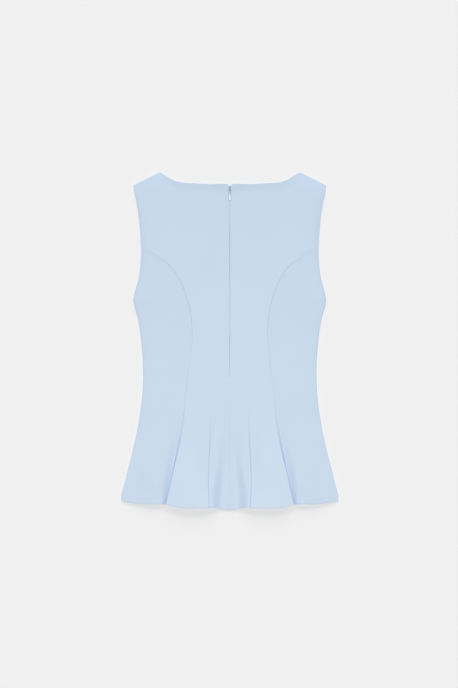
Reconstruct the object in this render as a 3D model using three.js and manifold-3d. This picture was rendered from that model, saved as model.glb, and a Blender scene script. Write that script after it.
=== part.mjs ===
// A sleeveless peplum top laid flat with its back up: two centre back panels with an
// invisible zip between them, two side back panels joined to them by curved princess
// seams, and a plain front underneath. Below the waist the back stands up in two wide
// flutes, with a low strip between them.
//
// Millimetres. X runs across the back, Y towards the neck and Z up from the table.
// The origin is on the table, in the middle of the top's length and width. Lengths along
// the garment are written as "down", the distance below the neck end of the shoulders.

import * as THREE from "three";
import { mergeVertices } from "three/addons/utils/BufferGeometryUtils.js";
import Module from "manifold-3d";

// Driving sizes
const LENGTH = 660; // neck end of the shoulder to the lowest point of the hem
const CLOTH = 1.2; // thickness of the double crepe
const SEAM_GAP = 0.3; // between two pieces at a seam
const REST = 2.1; // middle of the back's cloth where it lies on the front
const LOFT = 2.5; // how much higher it lies away from the edges
const SIDE_REACH = 12; // distance from the sides over which it rises
const TOP_REACH = 16; // and from the neck and shoulders
const NECK_POINT = 136.5; // half distance between the neck ends of the shoulders
const SHOULDER_TIP = { half: 188.2, down: 25.4 };
const UNDERARM = { half: 188.6, down: 249 };
const WAIST_DOWN = 420; // above this the back has no flutes
const HEM_BLEND_DOWN = 600; // rows bend to the hem's curve below this
const YOKE_DOWN = 56; // rows bend to the neck's curve above this
const FRONT_NECK_DROP = 15; // the front's neckline lies this much lower
const FRONT_ARMHOLE_HOLLOW = 7; // and its armholes this much further in
const FRONT_HEM_RISE = 8; // the middle of the front's hem is this much higher than the back's
const ZIP_END_DOWN = 400;
const ZIP_LEVEL = { half: 15, blend: 25 }; // the strip over the zip, kept level, and its edge
const NECK_STEP = 8; // distance in which the back steps down off the front's neckline
const ARMHOLE_STEP = 5; // and off its armhole
const HUMP_LEAD = 0.3; // how much of a smooth step the hump skips, so that it starts as a slope
const HUMP_LEVEL = 0.3; // share of the side panel's width past which the hump falls

// Half widths of the outline, from the shoulder tip to the underarm
const ARMHOLE = [
  { down: 25.4, half: 188.2 },
  { down: 36, half: 187.2 },
  { down: 56, half: 182.8 },
  { down: 95, half: 177 },
  { down: 134, half: 174 },
  { down: 153, half: 173.4 },
  { down: 173, half: 174 },
  { down: 192, half: 175.6 },
  { down: 211, half: 179 },
  { down: 231, half: 184.6 },
  { down: 249, half: 188.6 },
];

// Half widths of the outline, from the underarm to the hem
const SIDE = [
  { down: 249, half: 188.6 },
  { down: 262, half: 186 },
  { down: 290, half: 178.4 },
  { down: 329, half: 173 },
  { down: 368, half: 169.8 },
  { down: 397, half: 169.2 },
  { down: 426, half: 170.1 },
  { down: 465, half: 174.4 },
  { down: 504, half: 181 },
  { down: 543, half: 189.6 },
  { down: 602, half: 204.2 },
  { down: 641, half: 212.2 },
];

// The back neckline, from the middle to the neck end of the shoulder
const NECK = [
  { off: 0, down: 23.6 },
  { off: 37, down: 23.4 },
  { off: 60, down: 22.4 },
  { off: 92, down: 20.4 },
  { off: 107, down: 17 },
  { off: 123, down: 8.6 },
  { off: 136.5, down: 0 },
];

// The hem, from the middle to the side seam
const HEM = [
  { off: 0, down: 660 },
  { off: 14, down: 658.4 },
  { off: 24, down: 656.4 },
  { off: 34, down: 655.4 },
  { off: 45, down: 655.9 },
  { off: 84, down: 656.4 },
  { off: 99, down: 655.6 },
  { off: 117, down: 651 },
  { off: 125, down: 649.6 },
  { off: 150, down: 649.2 },
  { off: 170, down: 648.2 },
  { off: 200, down: 643.6 },
  { off: 212.2, down: 641 },
];

// The princess seam, from the armhole to the hem
const PRINCESS = [
  { down: 150.5, off: 173.4 },
  { down: 153, off: 164.5 },
  { down: 158, off: 152 },
  { down: 169, off: 135.5 },
  { down: 178, off: 122 },
  { down: 192, off: 109 },
  { down: 211.5, off: 96.5 },
  { down: 231, off: 88.7 },
  { down: 250.5, off: 82.7 },
  { down: 270, off: 77.4 },
  { down: 290, off: 74.8 },
  { down: 315, off: 73.4 },
  { down: 348, off: 75.3 },
  { down: 387, off: 80 },
  { down: 426, off: 85 },
  { down: 465, off: 88.6 },
  { down: 524, off: 98 },
  { down: 563, off: 106.2 },
  { down: 602, off: 114.6 },
  { down: 655, off: 125 },
];

// Half the gap between the two centre backs: a notch at the neck, room for the slider's
// neck, the closed zip, then a plain seam
const CENTRE_GAP = [
  { down: 23, half: 6 },
  { down: 25.2, half: 3.4 },
  { down: 28, half: 1.25 },
  { down: 42, half: 1.25 },
  { down: 48, half: 0.3 },
  { down: 396, half: 0.3 },
  { down: 402, half: 0.15 },
  { down: 660, half: 0.15 },
];

// The folds below the waist: how far the cloth turns over at the princess seam and the
// length of the fold's straight leg, then the same for the smaller fold on the inner side
// of each flute, and that fold's distance from the middle
const FOLDS = [
  { down: 445, turn: 0, leg: 0.6, innerTurn: 0, innerLeg: 0.5, innerOff: 36.4 },
  { down: 485, turn: 20, leg: 0.6, innerTurn: 17, innerLeg: 0.5, innerOff: 37 },
  { down: 524, turn: 38, leg: 1, innerTurn: 30, innerLeg: 0.5, innerOff: 38.6 },
  { down: 563, turn: 74, leg: 2, innerTurn: 34, innerLeg: 0.5, innerOff: 40.8 },
  { down: 602, turn: 108, leg: 2.8, innerTurn: 34, innerLeg: 0.5, innerOff: 42 },
  { down: 655, turn: 118, leg: 3.2, innerTurn: 36, innerLeg: 0.6, innerOff: 40.2 },
];
const OUTER_ARC = 2.8; // length of cloth in each bend of the fold at the princess seam
const INNER_ARC = 1.8; // and of the inner fold

// The swell below the waist: the crown of each flute, the height of the cloth beside its
// inner fold, the flank by which that falls to the low middle and half the flank's width,
// the hump of each side panel and the distance in which it rises, and how far the low
// cloth sinks to the front
const SWELL = [
  { down: 445, crown: 0, strip: 0, flankOff: 17, flankHalf: 8, hump: 0, humpReach: 20, sink: 0 },
  { down: 485, crown: 0.4, strip: 0.4, flankOff: 16, flankHalf: 8, hump: 0.7, humpReach: 20, sink: 0.2 },
  { down: 524, crown: 0.9, strip: 1.6, flankOff: 16.5, flankHalf: 8, hump: 2.4, humpReach: 20, sink: 0.5 },
  { down: 563, crown: 1.3, strip: 3.2, flankOff: 18, flankHalf: 8.8, hump: 3.9, humpReach: 20, sink: 0.8 },
  { down: 602, crown: 1.3, strip: 5, flankOff: 22.5, flankHalf: 10.6, hump: 5.2, humpReach: 19, sink: 0.95 },
  { down: 628, crown: 1.3, strip: 6, flankOff: 25.5, flankHalf: 11.8, hump: 4.8, humpReach: 14, sink: 1 },
  { down: 655, crown: 1.2, strip: 7, flankOff: 27.5, flankHalf: 12.6, hump: 4.4, humpReach: 9.5, sink: 1 },
];

// Where the rows of facets cross the princess seam, from the yoke to the hem. Above the
// waist the side panel's rows slant, because it narrows to a point at the armhole: each
// runs from a place on the seam to a place on the outer edge.
const CENTRE_ROWS = [
  YOKE_DOWN, 95, 134, 150.5, 151, 153, 158, 169, 178, 192, 211.5, 231, 270, 315, 368,
  WAIST_DOWN, 445, 465, 485, 504, 524, 543, 563, 582, HEM_BLEND_DOWN, 628, 655,
];
const TOP_SHARES = [0.5, 0.86, 0.95, 1]; // rows between the yoke and the neck's curve
const SIDE_ROWS = [
  { seam: 151, edge: 151.8 },
  { seam: 153, edge: 160 },
  { seam: 158, edge: 173 },
  { seam: 169, edge: 192 },
  { seam: 178, edge: 211 },
  { seam: 192, edge: 231 },
  { seam: 211.5, edge: 249 },
  { seam: 231, edge: 262 },
  { seam: 270, edge: 290 },
  { seam: 315, edge: 325 },
  ...CENTRE_ROWS.filter((down) => down > 320).map((down) => ({ seam: down, edge: down })),
];

const radians = THREE.MathUtils.degToRad;
const mix = THREE.MathUtils.lerp;

// Smooth step from 0 to 1
function ease(share) {
  const s = THREE.MathUtils.clamp(share, 0, 1);
  return s * s * (3 - 2 * s);
}

// Reads one column of a table at any value of its first column: a cubic through the rows
// whose slopes never overshoot, and the end rows' values past the ends
function readTable(table, key, at, column) {
  const last = table.length - 1;
  if (at <= table[0][key]) return table[0][column];
  if (at >= table[last][key]) return table[last][column];
  const i = table.findIndex((row) => row[key] > at) - 1;
  const width = (k) => table[k + 1][key] - table[k][key];
  const rise = (k) => (table[k + 1][column] - table[k][column]) / width(k);
  const slope = (k) => {
    if (k === 0) return rise(0);
    if (k === last) return rise(last - 1);
    const before = rise(k - 1);
    const after = rise(k);
    return before * after <= 0 ? 0 : (2 * before * after) / (before + after);
  };
  const h = width(i);
  const s = (at - table[i][key]) / h;
  const a = table[i][column];
  const b = table[i + 1][column];
  return (
    a * (1 + 2 * s) * (1 - s) ** 2 +
    slope(i) * h * s * (1 - s) ** 2 +
    b * s * s * (3 - 2 * s) +
    slope(i + 1) * h * s * s * (s - 1)
  );
}

const armholeHalf = (down) => readTable(ARMHOLE, "down", down, "half");
const sideHalf = (down) => readTable(SIDE, "down", down, "half");
const outlineHalf = (down) => (down < UNDERARM.down ? armholeHalf(down) : sideHalf(down));
const seamOff = (down) => readTable(PRINCESS, "down", down, "off");
const centreGap = (down) => readTable(CENTRE_GAP, "down", down, "half");
const hemDown = (off) => readTable(HEM, "off", off, "down");
const fold = (down, column) => readTable(FOLDS, "down", down, column);
const swell = (down, column) => readTable(SWELL, "down", down, column);

// The back's top edge: neckline, then the straight shoulder
function topDown(off) {
  if (off <= NECK_POINT) return readTable(NECK, "off", off, "down");
  return (SHOULDER_TIP.down * (off - NECK_POINT)) / (SHOULDER_TIP.half - NECK_POINT);
}

// The front's neckline and armhole, which lie inside the back's
const frontNeckDown = (off) => topDown(off) + FRONT_NECK_DROP * (1 - (off / NECK_POINT) ** 2);
function frontArmholeHalf(down) {
  const share = (down - SHOULDER_TIP.down) / (UNDERARM.down - SHOULDER_TIP.down);
  return armholeHalf(down) - FRONT_ARMHOLE_HOLLOW * Math.sin(Math.PI * Math.max(share, 0));
}

// How far the back has stepped down off the front's edge, from 0 to 1
function pastFront(off, down, zipSide) {
  if (down > UNDERARM.down) return 0;
  const pastArmhole = ease((off - frontArmholeHalf(down) - 1) / ARMHOLE_STEP);
  if (off > NECK_POINT) return pastArmhole;
  const pastNeck = ease((frontNeckDown(off) - 1 - down) / NECK_STEP) * (1 - zipSide);
  return Math.max(pastNeck, pastArmhole);
}

// Height of the middle of the back's cloth, without its flutes: low at every edge, lower
// still where no front lies under it, and level beside the zip
function layerHeight(off, down) {
  const zipSide = 1 - ease((off - ZIP_LEVEL.half) / ZIP_LEVEL.blend);
  const fromTop = Math.max(0, down - topDown(off));
  const fromSide = Math.max(0, outlineHalf(down) - off);
  const topRise = mix(1 - Math.exp(-((fromTop / TOP_REACH) ** 2)), 1, zipSide);
  const sideRise = 1 - Math.exp(-fromSide / SIDE_REACH);
  const loft = LOFT * (1 - swell(down, "sink")) * topRise * sideRise;
  return REST + loft - CLOTH * pastFront(off, down, zipSide);
}

// Half of a fold, seen in a cross section: from its lip, where the cloth is level, round an
// arc to the middle of its straight leg. Points are [outwards, upwards] from the lip.
function halfFold(arc, turn, leg, steps) {
  const angle = Math.max(radians(turn), 1e-4);
  const radius = arc / angle;
  const points = [];
  for (let k = 0; k <= steps; k++) {
    const a = (angle * k) / steps;
    points.push([radius * Math.sin(a), -radius * (1 - Math.cos(a))]);
  }
  const [x, z] = points[steps];
  points.push([x + (leg / 2) * Math.cos(angle), z - (leg / 2) * Math.sin(angle)]);
  return points;
}

// How far a fold's lip lies behind the line that it shows from above
function lipSetback(half) {
  return Math.max(...half.slice(0, -1).map(([x]) => x), half[half.length - 1][0]);
}

// Facets of a section: in each bend, over the flute, down its flank, over the low middle's
// half and over the side panel
const ARC_STEPS = 3;
const TOP_STEPS = 4;
const FLANK_STEPS = 7;
const MIDDLE_STEPS = 2;
const SIDE_STEPS = 8;

const outerFold = (down) => halfFold(OUTER_ARC, fold(down, "turn"), fold(down, "leg"), ARC_STEPS);

// The centre back's cross section below the waist, from the princess seam to the middle
function centreSection(down) {
  const outer = outerFold(down);
  const inner = halfFold(INNER_ARC, fold(down, "innerTurn"), fold(down, "innerLeg"), ARC_STEPS);
  const [legX, legZ] = inner[inner.length - 1];
  const strip = swell(down, "strip");
  const rise = -2 * outer[outer.length - 1][1];
  const innerRise = strip - 2 * legZ;
  const lip = seamOff(down) - lipSetback(outer);
  const innerLip = fold(down, "innerOff") + lipSetback(inner);
  const foot = innerLip - 2 * legX;
  const base = (x) => layerHeight(x, down);
  const points = outer.map(([x, z]) => [lip + x, base(lip) + rise + z]).reverse();
  for (let k = 1; k <= TOP_STEPS; k++) {
    const share = k / TOP_STEPS;
    const x = mix(lip, innerLip, share);
    const crown = swell(down, "crown") * Math.sin(Math.PI * share) ** 2;
    points.push([x, base(x) + mix(rise, innerRise, share) + crown]);
  }
  for (const [x, z] of inner.slice(1)) points.push([innerLip - x, base(innerLip) + innerRise + z]);
  for (const [x, z] of inner.slice(0, -1).reverse()) {
    points.push([foot + x, base(innerLip) + strip - z]);
  }
  const flankStart = Math.min(swell(down, "flankOff") + swell(down, "flankHalf"), foot - 0.4);
  const flankEnd = swell(down, "flankOff") - swell(down, "flankHalf");
  for (let k = 0; k <= FLANK_STEPS; k++) {
    const share = k / FLANK_STEPS;
    const x = mix(flankStart, flankEnd, share);
    points.push([x, base(x) + strip * (1 - ease(share))]);
  }
  for (let k = 1; k <= MIDDLE_STEPS; k++) {
    const x = mix(flankEnd, centreGap(down), k / MIDDLE_STEPS);
    points.push([x, base(x)]);
  }
  return points;
}

// How far the side panel's hump has risen, from 0 to 1: a smooth step without its first part
function humpClimb(share) {
  const start = ease(HUMP_LEAD);
  return (ease(mix(HUMP_LEAD, 1, share)) - start) / (1 - start);
}

// The side back's cross section below the waist, from the princess seam to the side seam
function sideSection(down) {
  const outer = outerFold(down);
  const lip = seamOff(down) - lipSetback(outer);
  const foot = lip + 2 * outer[outer.length - 1][0];
  const edge = sideHalf(down);
  const points = outer.map(([x, z]) => [foot - x, layerHeight(lip, down) - z]).reverse();
  for (let k = 1; k <= SIDE_STEPS; k++) {
    const share = (k / SIDE_STEPS) ** 1.5;
    const x = mix(foot, edge, share);
    const climb = humpClimb((x - foot) / swell(down, "humpReach"));
    const fall = ease((share - HUMP_LEVEL) / (1 - HUMP_LEVEL));
    points.push([x, layerHeight(x, down) + swell(down, "hump") * climb * (1 - fall)]);
  }
  return points;
}

// Where each column of a section lies above the waist, as a share of the panel's width
function sharesOf(section) {
  const from = section[0][0];
  const to = section[section.length - 1][0];
  return section.map(([x]) => (x - from) / (to - from));
}

// Below HEM_BLEND_DOWN a row's points move down to the hem's curve
function bendToHem(off, down) {
  const lowest = CENTRE_ROWS[CENTRE_ROWS.length - 1];
  const share = (down - HEM_BLEND_DOWN) / (lowest - HEM_BLEND_DOWN);
  return share > 0 ? mix(HEM_BLEND_DOWN, hemDown(off), share) : down;
}

const point = (off, down, height) => new THREE.Vector3(off, LENGTH / 2 - down, height);

// Draws a panel's first column back from its seam line by half of the seam's gap, square to
// the seam, from the given row down
function openSeam(grid, firstRow) {
  const line = grid.map((row) => row[0].clone());
  for (let r = firstRow; r < grid.length; r++) {
    const before = line[Math.max(r - 1, firstRow)];
    const after = line[Math.min(r + 1, grid.length - 1)];
    const tangent = new THREE.Vector3().subVectors(after, before).normalize();
    const inwards = new THREE.Vector3().subVectors(grid[r][1], line[r]);
    inwards.addScaledVector(tangent, -inwards.dot(tangent)).normalize();
    grid[r][0].addScaledVector(inwards, SEAM_GAP / 2);
  }
}

// The right centre back as a grid of points in the middle of its cloth, from neck to hem
function centreBackGrid() {
  const shares = sharesOf(centreSection(WAIST_DOWN));
  const corner = ARC_STEPS + 1 + TOP_STEPS / 2;
  const flatRow = (down) => {
    const edge = down < PRINCESS[0].down ? armholeHalf(down) : seamOff(down);
    return shares.map((share) => mix(edge, centreGap(down), share));
  };
  const yoke = flatRow(YOKE_DOWN);
  const topOff = shares.map((share, k) =>
    k <= corner
      ? mix(SHOULDER_TIP.half, NECK_POINT, share / shares[corner])
      : mix(NECK_POINT, CENTRE_GAP[0].half, (share - shares[corner]) / (1 - shares[corner])),
  );
  const rows = [];
  for (const share of [...TOP_SHARES].reverse()) {
    const edgeDown = mix(YOKE_DOWN, SHOULDER_TIP.down, share);
    const edgeMove = armholeHalf(edgeDown) - mix(yoke[0], topOff[0], share);
    rows.push(
      shares.map((s, k) => {
        const down = mix(YOKE_DOWN, topDown(topOff[k]), share);
        const last = k === shares.length - 1;
        const off = last ? centreGap(down) : mix(yoke[k], topOff[k], share) + edgeMove * (1 - s) ** 2;
        return point(off, down, layerHeight(off, down));
      }),
    );
  }
  for (const down of CENTRE_ROWS) {
    const section =
      down <= WAIST_DOWN ? flatRow(down).map((x) => [x, layerHeight(x, down)]) : centreSection(down);
    rows.push(section.map(([x, z]) => point(x, bendToHem(x, down), z)));
  }
  openSeam(rows, TOP_SHARES.length + CENTRE_ROWS.indexOf(PRINCESS[0].down));
  return rows;
}

// The right side back as a grid of points in the middle of its cloth, from armhole to hem
function sideBackGrid() {
  const shares = sharesOf(sideSection(WAIST_DOWN));
  const rows = SIDE_ROWS.map(({ seam, edge }) => {
    if (seam > WAIST_DOWN) return sideSection(seam).map(([x, z]) => point(x, bendToHem(x, seam), z));
    return shares.map((share) => {
      const off = mix(seamOff(seam), outlineHalf(edge), share);
      const down = mix(seam, edge, share);
      return point(off, down, layerHeight(off, down));
    });
  });
  openSeam(rows, 0);
  return rows;
}

// The direction square to the cloth. Above the waist it comes from the height itself, so
// that the panels agree at their seams, and below it from the grid's neighbouring points.
function clothNormal(grid, r, c) {
  const { x, y } = grid[r][c];
  const down = LENGTH / 2 - y;
  if (down <= WAIST_DOWN) {
    const h = 0.5;
    const across = (layerHeight(x + h, down) - layerHeight(x - h, down)) / (2 * h);
    const along = (layerHeight(x, down + h) - layerHeight(x, down - h)) / (2 * h);
    return new THREE.Vector3(-across, along, 1).normalize();
  }
  const lastRow = grid.length - 1;
  const lastColumn = grid[0].length - 1;
  const across = grid[r][Math.min(c + 1, lastColumn)].clone().sub(grid[r][Math.max(c - 1, 0)]);
  const along = grid[Math.min(r + 1, lastRow)][c].clone().sub(grid[r - 1][c]);
  return across.cross(along).multiplyScalar(grid.upSign).normalize();
}

// A closed wall of cloth: the grid's points moved half a thickness to each side along the
// surface's own direction, and a rim all round. side is 1 for the right and -1 for the left.
function wallFromGrid(grid, side) {
  const rows = grid.length;
  const columns = grid[0].length;
  const positions = [];
  for (const face of [1, -1]) {
    for (let r = 0; r < rows; r++) {
      for (let c = 0; c < columns; c++) {
        const p = grid[r][c].clone().addScaledVector(clothNormal(grid, r, c), (face * CLOTH) / 2);
        positions.push(side * p.x, p.y, p.z);
      }
    }
  }
  const top = (r, c) => r * columns + c;
  const under = (r, c) => rows * columns + r * columns + c;
  const faces = [];
  const flip = side * grid.upSign < 0;
  const quad = (a, b, c, d) => faces.push(...(flip ? [a, c, b, a, d, c] : [a, b, c, a, c, d]));
  for (let r = 0; r + 1 < rows; r++) {
    for (let c = 0; c + 1 < columns; c++) {
      quad(top(r, c), top(r, c + 1), top(r + 1, c + 1), top(r + 1, c));
      quad(under(r, c), under(r + 1, c), under(r + 1, c + 1), under(r, c + 1));
    }
    quad(top(r, 0), top(r + 1, 0), under(r + 1, 0), under(r, 0));
    quad(top(r + 1, columns - 1), top(r, columns - 1), under(r, columns - 1), under(r + 1, columns - 1));
  }
  for (let c = 0; c + 1 < columns; c++) {
    quad(top(0, c + 1), top(0, c), under(0, c), under(0, c + 1));
    quad(top(rows - 1, c), top(rows - 1, c + 1), under(rows - 1, c + 1), under(rows - 1, c));
  }
  const geometry = new THREE.BufferGeometry();
  geometry.setAttribute("position", new THREE.Float32BufferAttribute(positions, 3));
  geometry.setIndex(faces);
  return geometry;
}

const FRONT_STEPS = 10; // facets of half its neckline, and of half its hem

// The front: one flat panel with the outline of the back's sides, a lower neckline and
// more hollow armholes
function frontGeometry() {
  const half = [];
  for (let k = 0; k <= FRONT_STEPS; k++) {
    const off = (NECK_POINT * k) / FRONT_STEPS;
    half.push([off, frontNeckDown(off)]);
  }
  for (const { down } of ARMHOLE) half.push([frontArmholeHalf(down), down]);
  for (const { down, half: off } of SIDE.slice(1)) half.push([off, down]);
  const sideFoot = SIDE[SIDE.length - 1];
  for (let k = FRONT_STEPS - 1; k >= 0; k--) {
    const share = k / FRONT_STEPS;
    half.push([sideFoot.half * share, mix(LENGTH - FRONT_HEM_RISE, sideFoot.down, share ** 2)]);
  }
  const outline = [
    ...half.map(([off, down]) => new THREE.Vector2(off, LENGTH / 2 - down)),
    ...half.slice(1, -1).reverse().map(([off, down]) => new THREE.Vector2(-off, LENGTH / 2 - down)),
  ];
  return new THREE.ExtrudeGeometry(new THREE.Shape(outline), { depth: CLOTH, bevelEnabled: false });
}

// The zip: a tape under the closed edges, a slider through the notch, and its pull tab
const TAPE = { half: 13, top: 25, end: ZIP_END_DOWN + 12, thick: 0.8, slotHalf: 4.2, slotEnd: 39.5 };
const TAPE_TOP = REST + LOFT - CLOTH / 2 - SEAM_GAP;
const SLIDER = { half: 3.6, top: 27.5, end: 38, thick: 1.8, corner: 1.6, neckThick: 1.6 };
const TAB = { length: 22.5, half: 2.3, thick: 1, bar: 1, corner: 0.6 };
const TAB_HEAD_HALF = 1.9;
const TAB_WINDOW = { half: 1.1, length: 2.5 }; // lets the slider's eye through
const HINGE_DOWN = 33.5;
const HINGE_HEIGHT = REST + LOFT + CLOTH / 2 + SEAM_GAP + TAB.thick / 2;
const EYE_RADIUS = 0.95; // hole of the slider's eye, which the tab's bar turns in
const EYE_WALL = 0.9;

function tapeGeometry() {
  const y = (down) => LENGTH / 2 - down;
  const shape = new THREE.Shape([
    new THREE.Vector2(-TAPE.half, y(TAPE.end)),
    new THREE.Vector2(TAPE.half, y(TAPE.end)),
    new THREE.Vector2(TAPE.half, y(TAPE.top)),
    new THREE.Vector2(TAPE.slotHalf, y(TAPE.top)),
    new THREE.Vector2(TAPE.slotHalf, y(TAPE.slotEnd)),
    new THREE.Vector2(-TAPE.slotHalf, y(TAPE.slotEnd)),
    new THREE.Vector2(-TAPE.slotHalf, y(TAPE.top)),
    new THREE.Vector2(-TAPE.half, y(TAPE.top)),
  ]);
  return new THREE.ExtrudeGeometry(shape, { depth: TAPE.thick, bevelEnabled: false });
}

// The slider's flat body, drawn in the plane of the table with round corners
function sliderBodyGeometry() {
  const x = SLIDER.half - SLIDER.corner;
  const y = (SLIDER.end - SLIDER.top) / 2 - SLIDER.corner;
  const shape = new THREE.Shape();
  shape.absarc(x, -y, SLIDER.corner, -Math.PI / 2, 0);
  shape.absarc(x, y, SLIDER.corner, 0, Math.PI / 2);
  shape.absarc(-x, y, SLIDER.corner, Math.PI / 2, Math.PI);
  shape.absarc(-x, -y, SLIDER.corner, Math.PI, 1.5 * Math.PI);
  return new THREE.ExtrudeGeometry(shape, {
    depth: SLIDER.thick,
    bevelEnabled: false,
    curveSegments: 4,
  });
}

// The slider's neck and eye, drawn in profile with the eye's centre at the origin and
// carried through the thickness of the neck
function sliderEyeGeometry(foot) {
  const outer = EYE_RADIUS + EYE_WALL;
  const shape = new THREE.Shape();
  shape.moveTo(-outer, -foot);
  shape.lineTo(outer, -foot);
  shape.absarc(0, 0, outer, 0, Math.PI);
  shape.closePath();
  const hole = new THREE.Path();
  hole.absarc(0, 0, EYE_RADIUS, 0, 2 * Math.PI, true);
  shape.holes.push(hole);
  const geometry = new THREE.ExtrudeGeometry(shape, {
    depth: SLIDER.neckThick,
    bevelEnabled: false,
    curveSegments: 8,
  });
  geometry.translate(0, 0, -SLIDER.neckThick / 2);
  // The profile's own X becomes the garment's Y, its Y becomes Z and its depth X
  geometry.applyMatrix4(
    new THREE.Matrix4().makeBasis(
      new THREE.Vector3(0, 1, 0),
      new THREE.Vector3(0, 0, 1),
      new THREE.Vector3(1, 0, 0),
    ),
  );
  return geometry;
}

// The pull tab lies along -Y from its hinge, which is at the origin: a bar through the
// slider's eye, a window round it and a long rounded tongue
function tabGeometry() {
  const top = TAB.bar / 2;
  const cornerX = TAB_HEAD_HALF - TAB.corner;
  const cornerY = top - TAB.corner;
  const shape = new THREE.Shape();
  shape.absarc(0, TAB.half - TAB.length, TAB.half, Math.PI, 2 * Math.PI);
  shape.absarc(cornerX, cornerY, TAB.corner, 0, Math.PI / 2);
  shape.absarc(-cornerX, cornerY, TAB.corner, Math.PI / 2, Math.PI);
  shape.holes.push(
    new THREE.Path([
      new THREE.Vector2(-TAB_WINDOW.half, -top),
      new THREE.Vector2(-TAB_WINDOW.half, -top - TAB_WINDOW.length),
      new THREE.Vector2(TAB_WINDOW.half, -top - TAB_WINDOW.length),
      new THREE.Vector2(TAB_WINDOW.half, -top),
    ]),
  );
  const geometry = new THREE.ExtrudeGeometry(shape, {
    depth: TAB.thick,
    bevelEnabled: false,
    curveSegments: 8,
  });
  return geometry.translate(0, 0, -TAB.thick / 2);
}

const wasm = await Module();
wasm.setup();

// A closed three.js geometry as a solid that can be joined to another
function solidOf(geometry) {
  const bare = geometry.index ? geometry.toNonIndexed() : geometry.clone();
  bare.deleteAttribute("normal");
  bare.deleteAttribute("uv");
  const merged = mergeVertices(bare, 1e-4);
  return new wasm.Manifold(
    new wasm.Mesh({
      numProp: 3,
      vertProperties: merged.attributes.position.array,
      triVerts: new Uint32Array(merged.index.array),
    }),
  );
}

function geometryOf(solid) {
  const { vertProperties, triVerts } = solid.getMesh();
  const geometry = new THREE.BufferGeometry();
  geometry.setAttribute("position", new THREE.Float32BufferAttribute(vertProperties, 3));
  geometry.setIndex(Array.from(triVerts));
  return geometry;
}

// Body and eye joined, with the origin at the eye's centre
function sliderGeometry() {
  const bodyTop = TAPE_TOP - SEAM_GAP - HINGE_HEIGHT;
  const body = sliderBodyGeometry();
  body.translate(0, HINGE_DOWN - (SLIDER.top + SLIDER.end) / 2, bodyTop - SLIDER.thick);
  const eye = sliderEyeGeometry(SLIDER.thick / 2 - bodyTop);
  return geometryOf(solidOf(body).add(solidOf(eye)));
}

const top = new THREE.Group();
const paint = {
  crepe: { color: 0xcbdced, roughness: 0.85, metalness: 0 },
  tape: { color: 0xc2d5ea, roughness: 0.8, metalness: 0 },
  enamel: { color: 0xd6e6fa, roughness: 0.35, metalness: 0 },
};

function addMesh(name, geometry, finish, place = [0, 0, 0]) {
  geometry.computeVertexNormals();
  const mesh = new THREE.Mesh(geometry, new THREE.MeshStandardMaterial(paint[finish]));
  mesh.name = name;
  mesh.position.set(...place);
  top.add(mesh);
}

const centreGrid = centreBackGrid();
centreGrid.upSign = 1; // its columns run inwards
const sideGrid = sideBackGrid();
sideGrid.upSign = -1; // its columns run outwards
for (const [name, side] of [["right", 1], ["left", -1]]) {
  addMesh(`back_centre_${name}`, wallFromGrid(centreGrid, side), "crepe");
  addMesh(`back_side_${name}`, wallFromGrid(sideGrid, side), "crepe");
}
addMesh("front", frontGeometry(), "crepe");
addMesh("zip_tape", tapeGeometry(), "tape", [0, 0, TAPE_TOP - TAPE.thick]);
const hinge = [0, LENGTH / 2 - HINGE_DOWN, HINGE_HEIGHT];
addMesh("zip_slider", sliderGeometry(), "enamel", hinge);
addMesh("zip_pull", tabGeometry(), "enamel", hinge);

export default top;
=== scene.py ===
# %% [markdown]
# # A peplum top laid flat with its back up
# This lesson dresses a CAD model of a sleeveless top in cloth. The real top has a plain
# front, two centre back panels with an invisible zip between them, and two side back
# panels joined to them by curved princess seams. Below the waist the back stands up in
# two wide flutes. Each cut piece becomes one closed shell of cloth, worked out with numpy.
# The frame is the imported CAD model, and everything here uses its axes and metres.

import bpy
import numpy as np
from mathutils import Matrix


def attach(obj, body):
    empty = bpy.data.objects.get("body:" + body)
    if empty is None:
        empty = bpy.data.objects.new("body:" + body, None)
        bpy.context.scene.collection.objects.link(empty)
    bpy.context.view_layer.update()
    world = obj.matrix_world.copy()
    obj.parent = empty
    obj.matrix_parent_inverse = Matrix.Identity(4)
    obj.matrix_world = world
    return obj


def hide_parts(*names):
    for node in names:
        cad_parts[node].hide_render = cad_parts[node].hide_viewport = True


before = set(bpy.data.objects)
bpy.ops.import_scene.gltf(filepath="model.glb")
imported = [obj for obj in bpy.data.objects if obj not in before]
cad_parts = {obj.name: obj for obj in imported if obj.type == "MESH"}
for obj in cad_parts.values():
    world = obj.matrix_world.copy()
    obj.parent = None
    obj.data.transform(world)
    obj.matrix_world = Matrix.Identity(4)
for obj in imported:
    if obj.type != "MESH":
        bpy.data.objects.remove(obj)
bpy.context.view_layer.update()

# %% [markdown]
# The photograph looks straight down on the top with a long lens, so edges far from the
# middle show no side. A 100 mm lens almost four metres up gives the same flat view. The
# colours are shown as they are, with no film curve, because the cloth is pale and even.

# %% Camera
scene = bpy.context.scene
scene.view_settings.view_transform = "Standard"
MM = 0.001
VIEW_HEIGHT = 1.345  # metres that the picture's height shows
PICTURE_MIDDLE = (-0.0016, -0.0056)  # metres from the origin
LENS = 100.0
SENSOR = 36.0
camera = bpy.data.cameras.new("camera")
camera.lens = LENS
camera.sensor_fit = "VERTICAL"
camera.sensor_height = SENSOR
camera.clip_end = 60.0
camera_object = bpy.data.objects.new("camera", camera)
camera_object.location = (*PICTURE_MIDDLE, VIEW_HEIGHT * LENS / SENSOR)
scene.collection.objects.link(camera_object)
scene.camera = camera_object
print("camera height in metres:", round(camera_object.location.z, 3))

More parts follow.
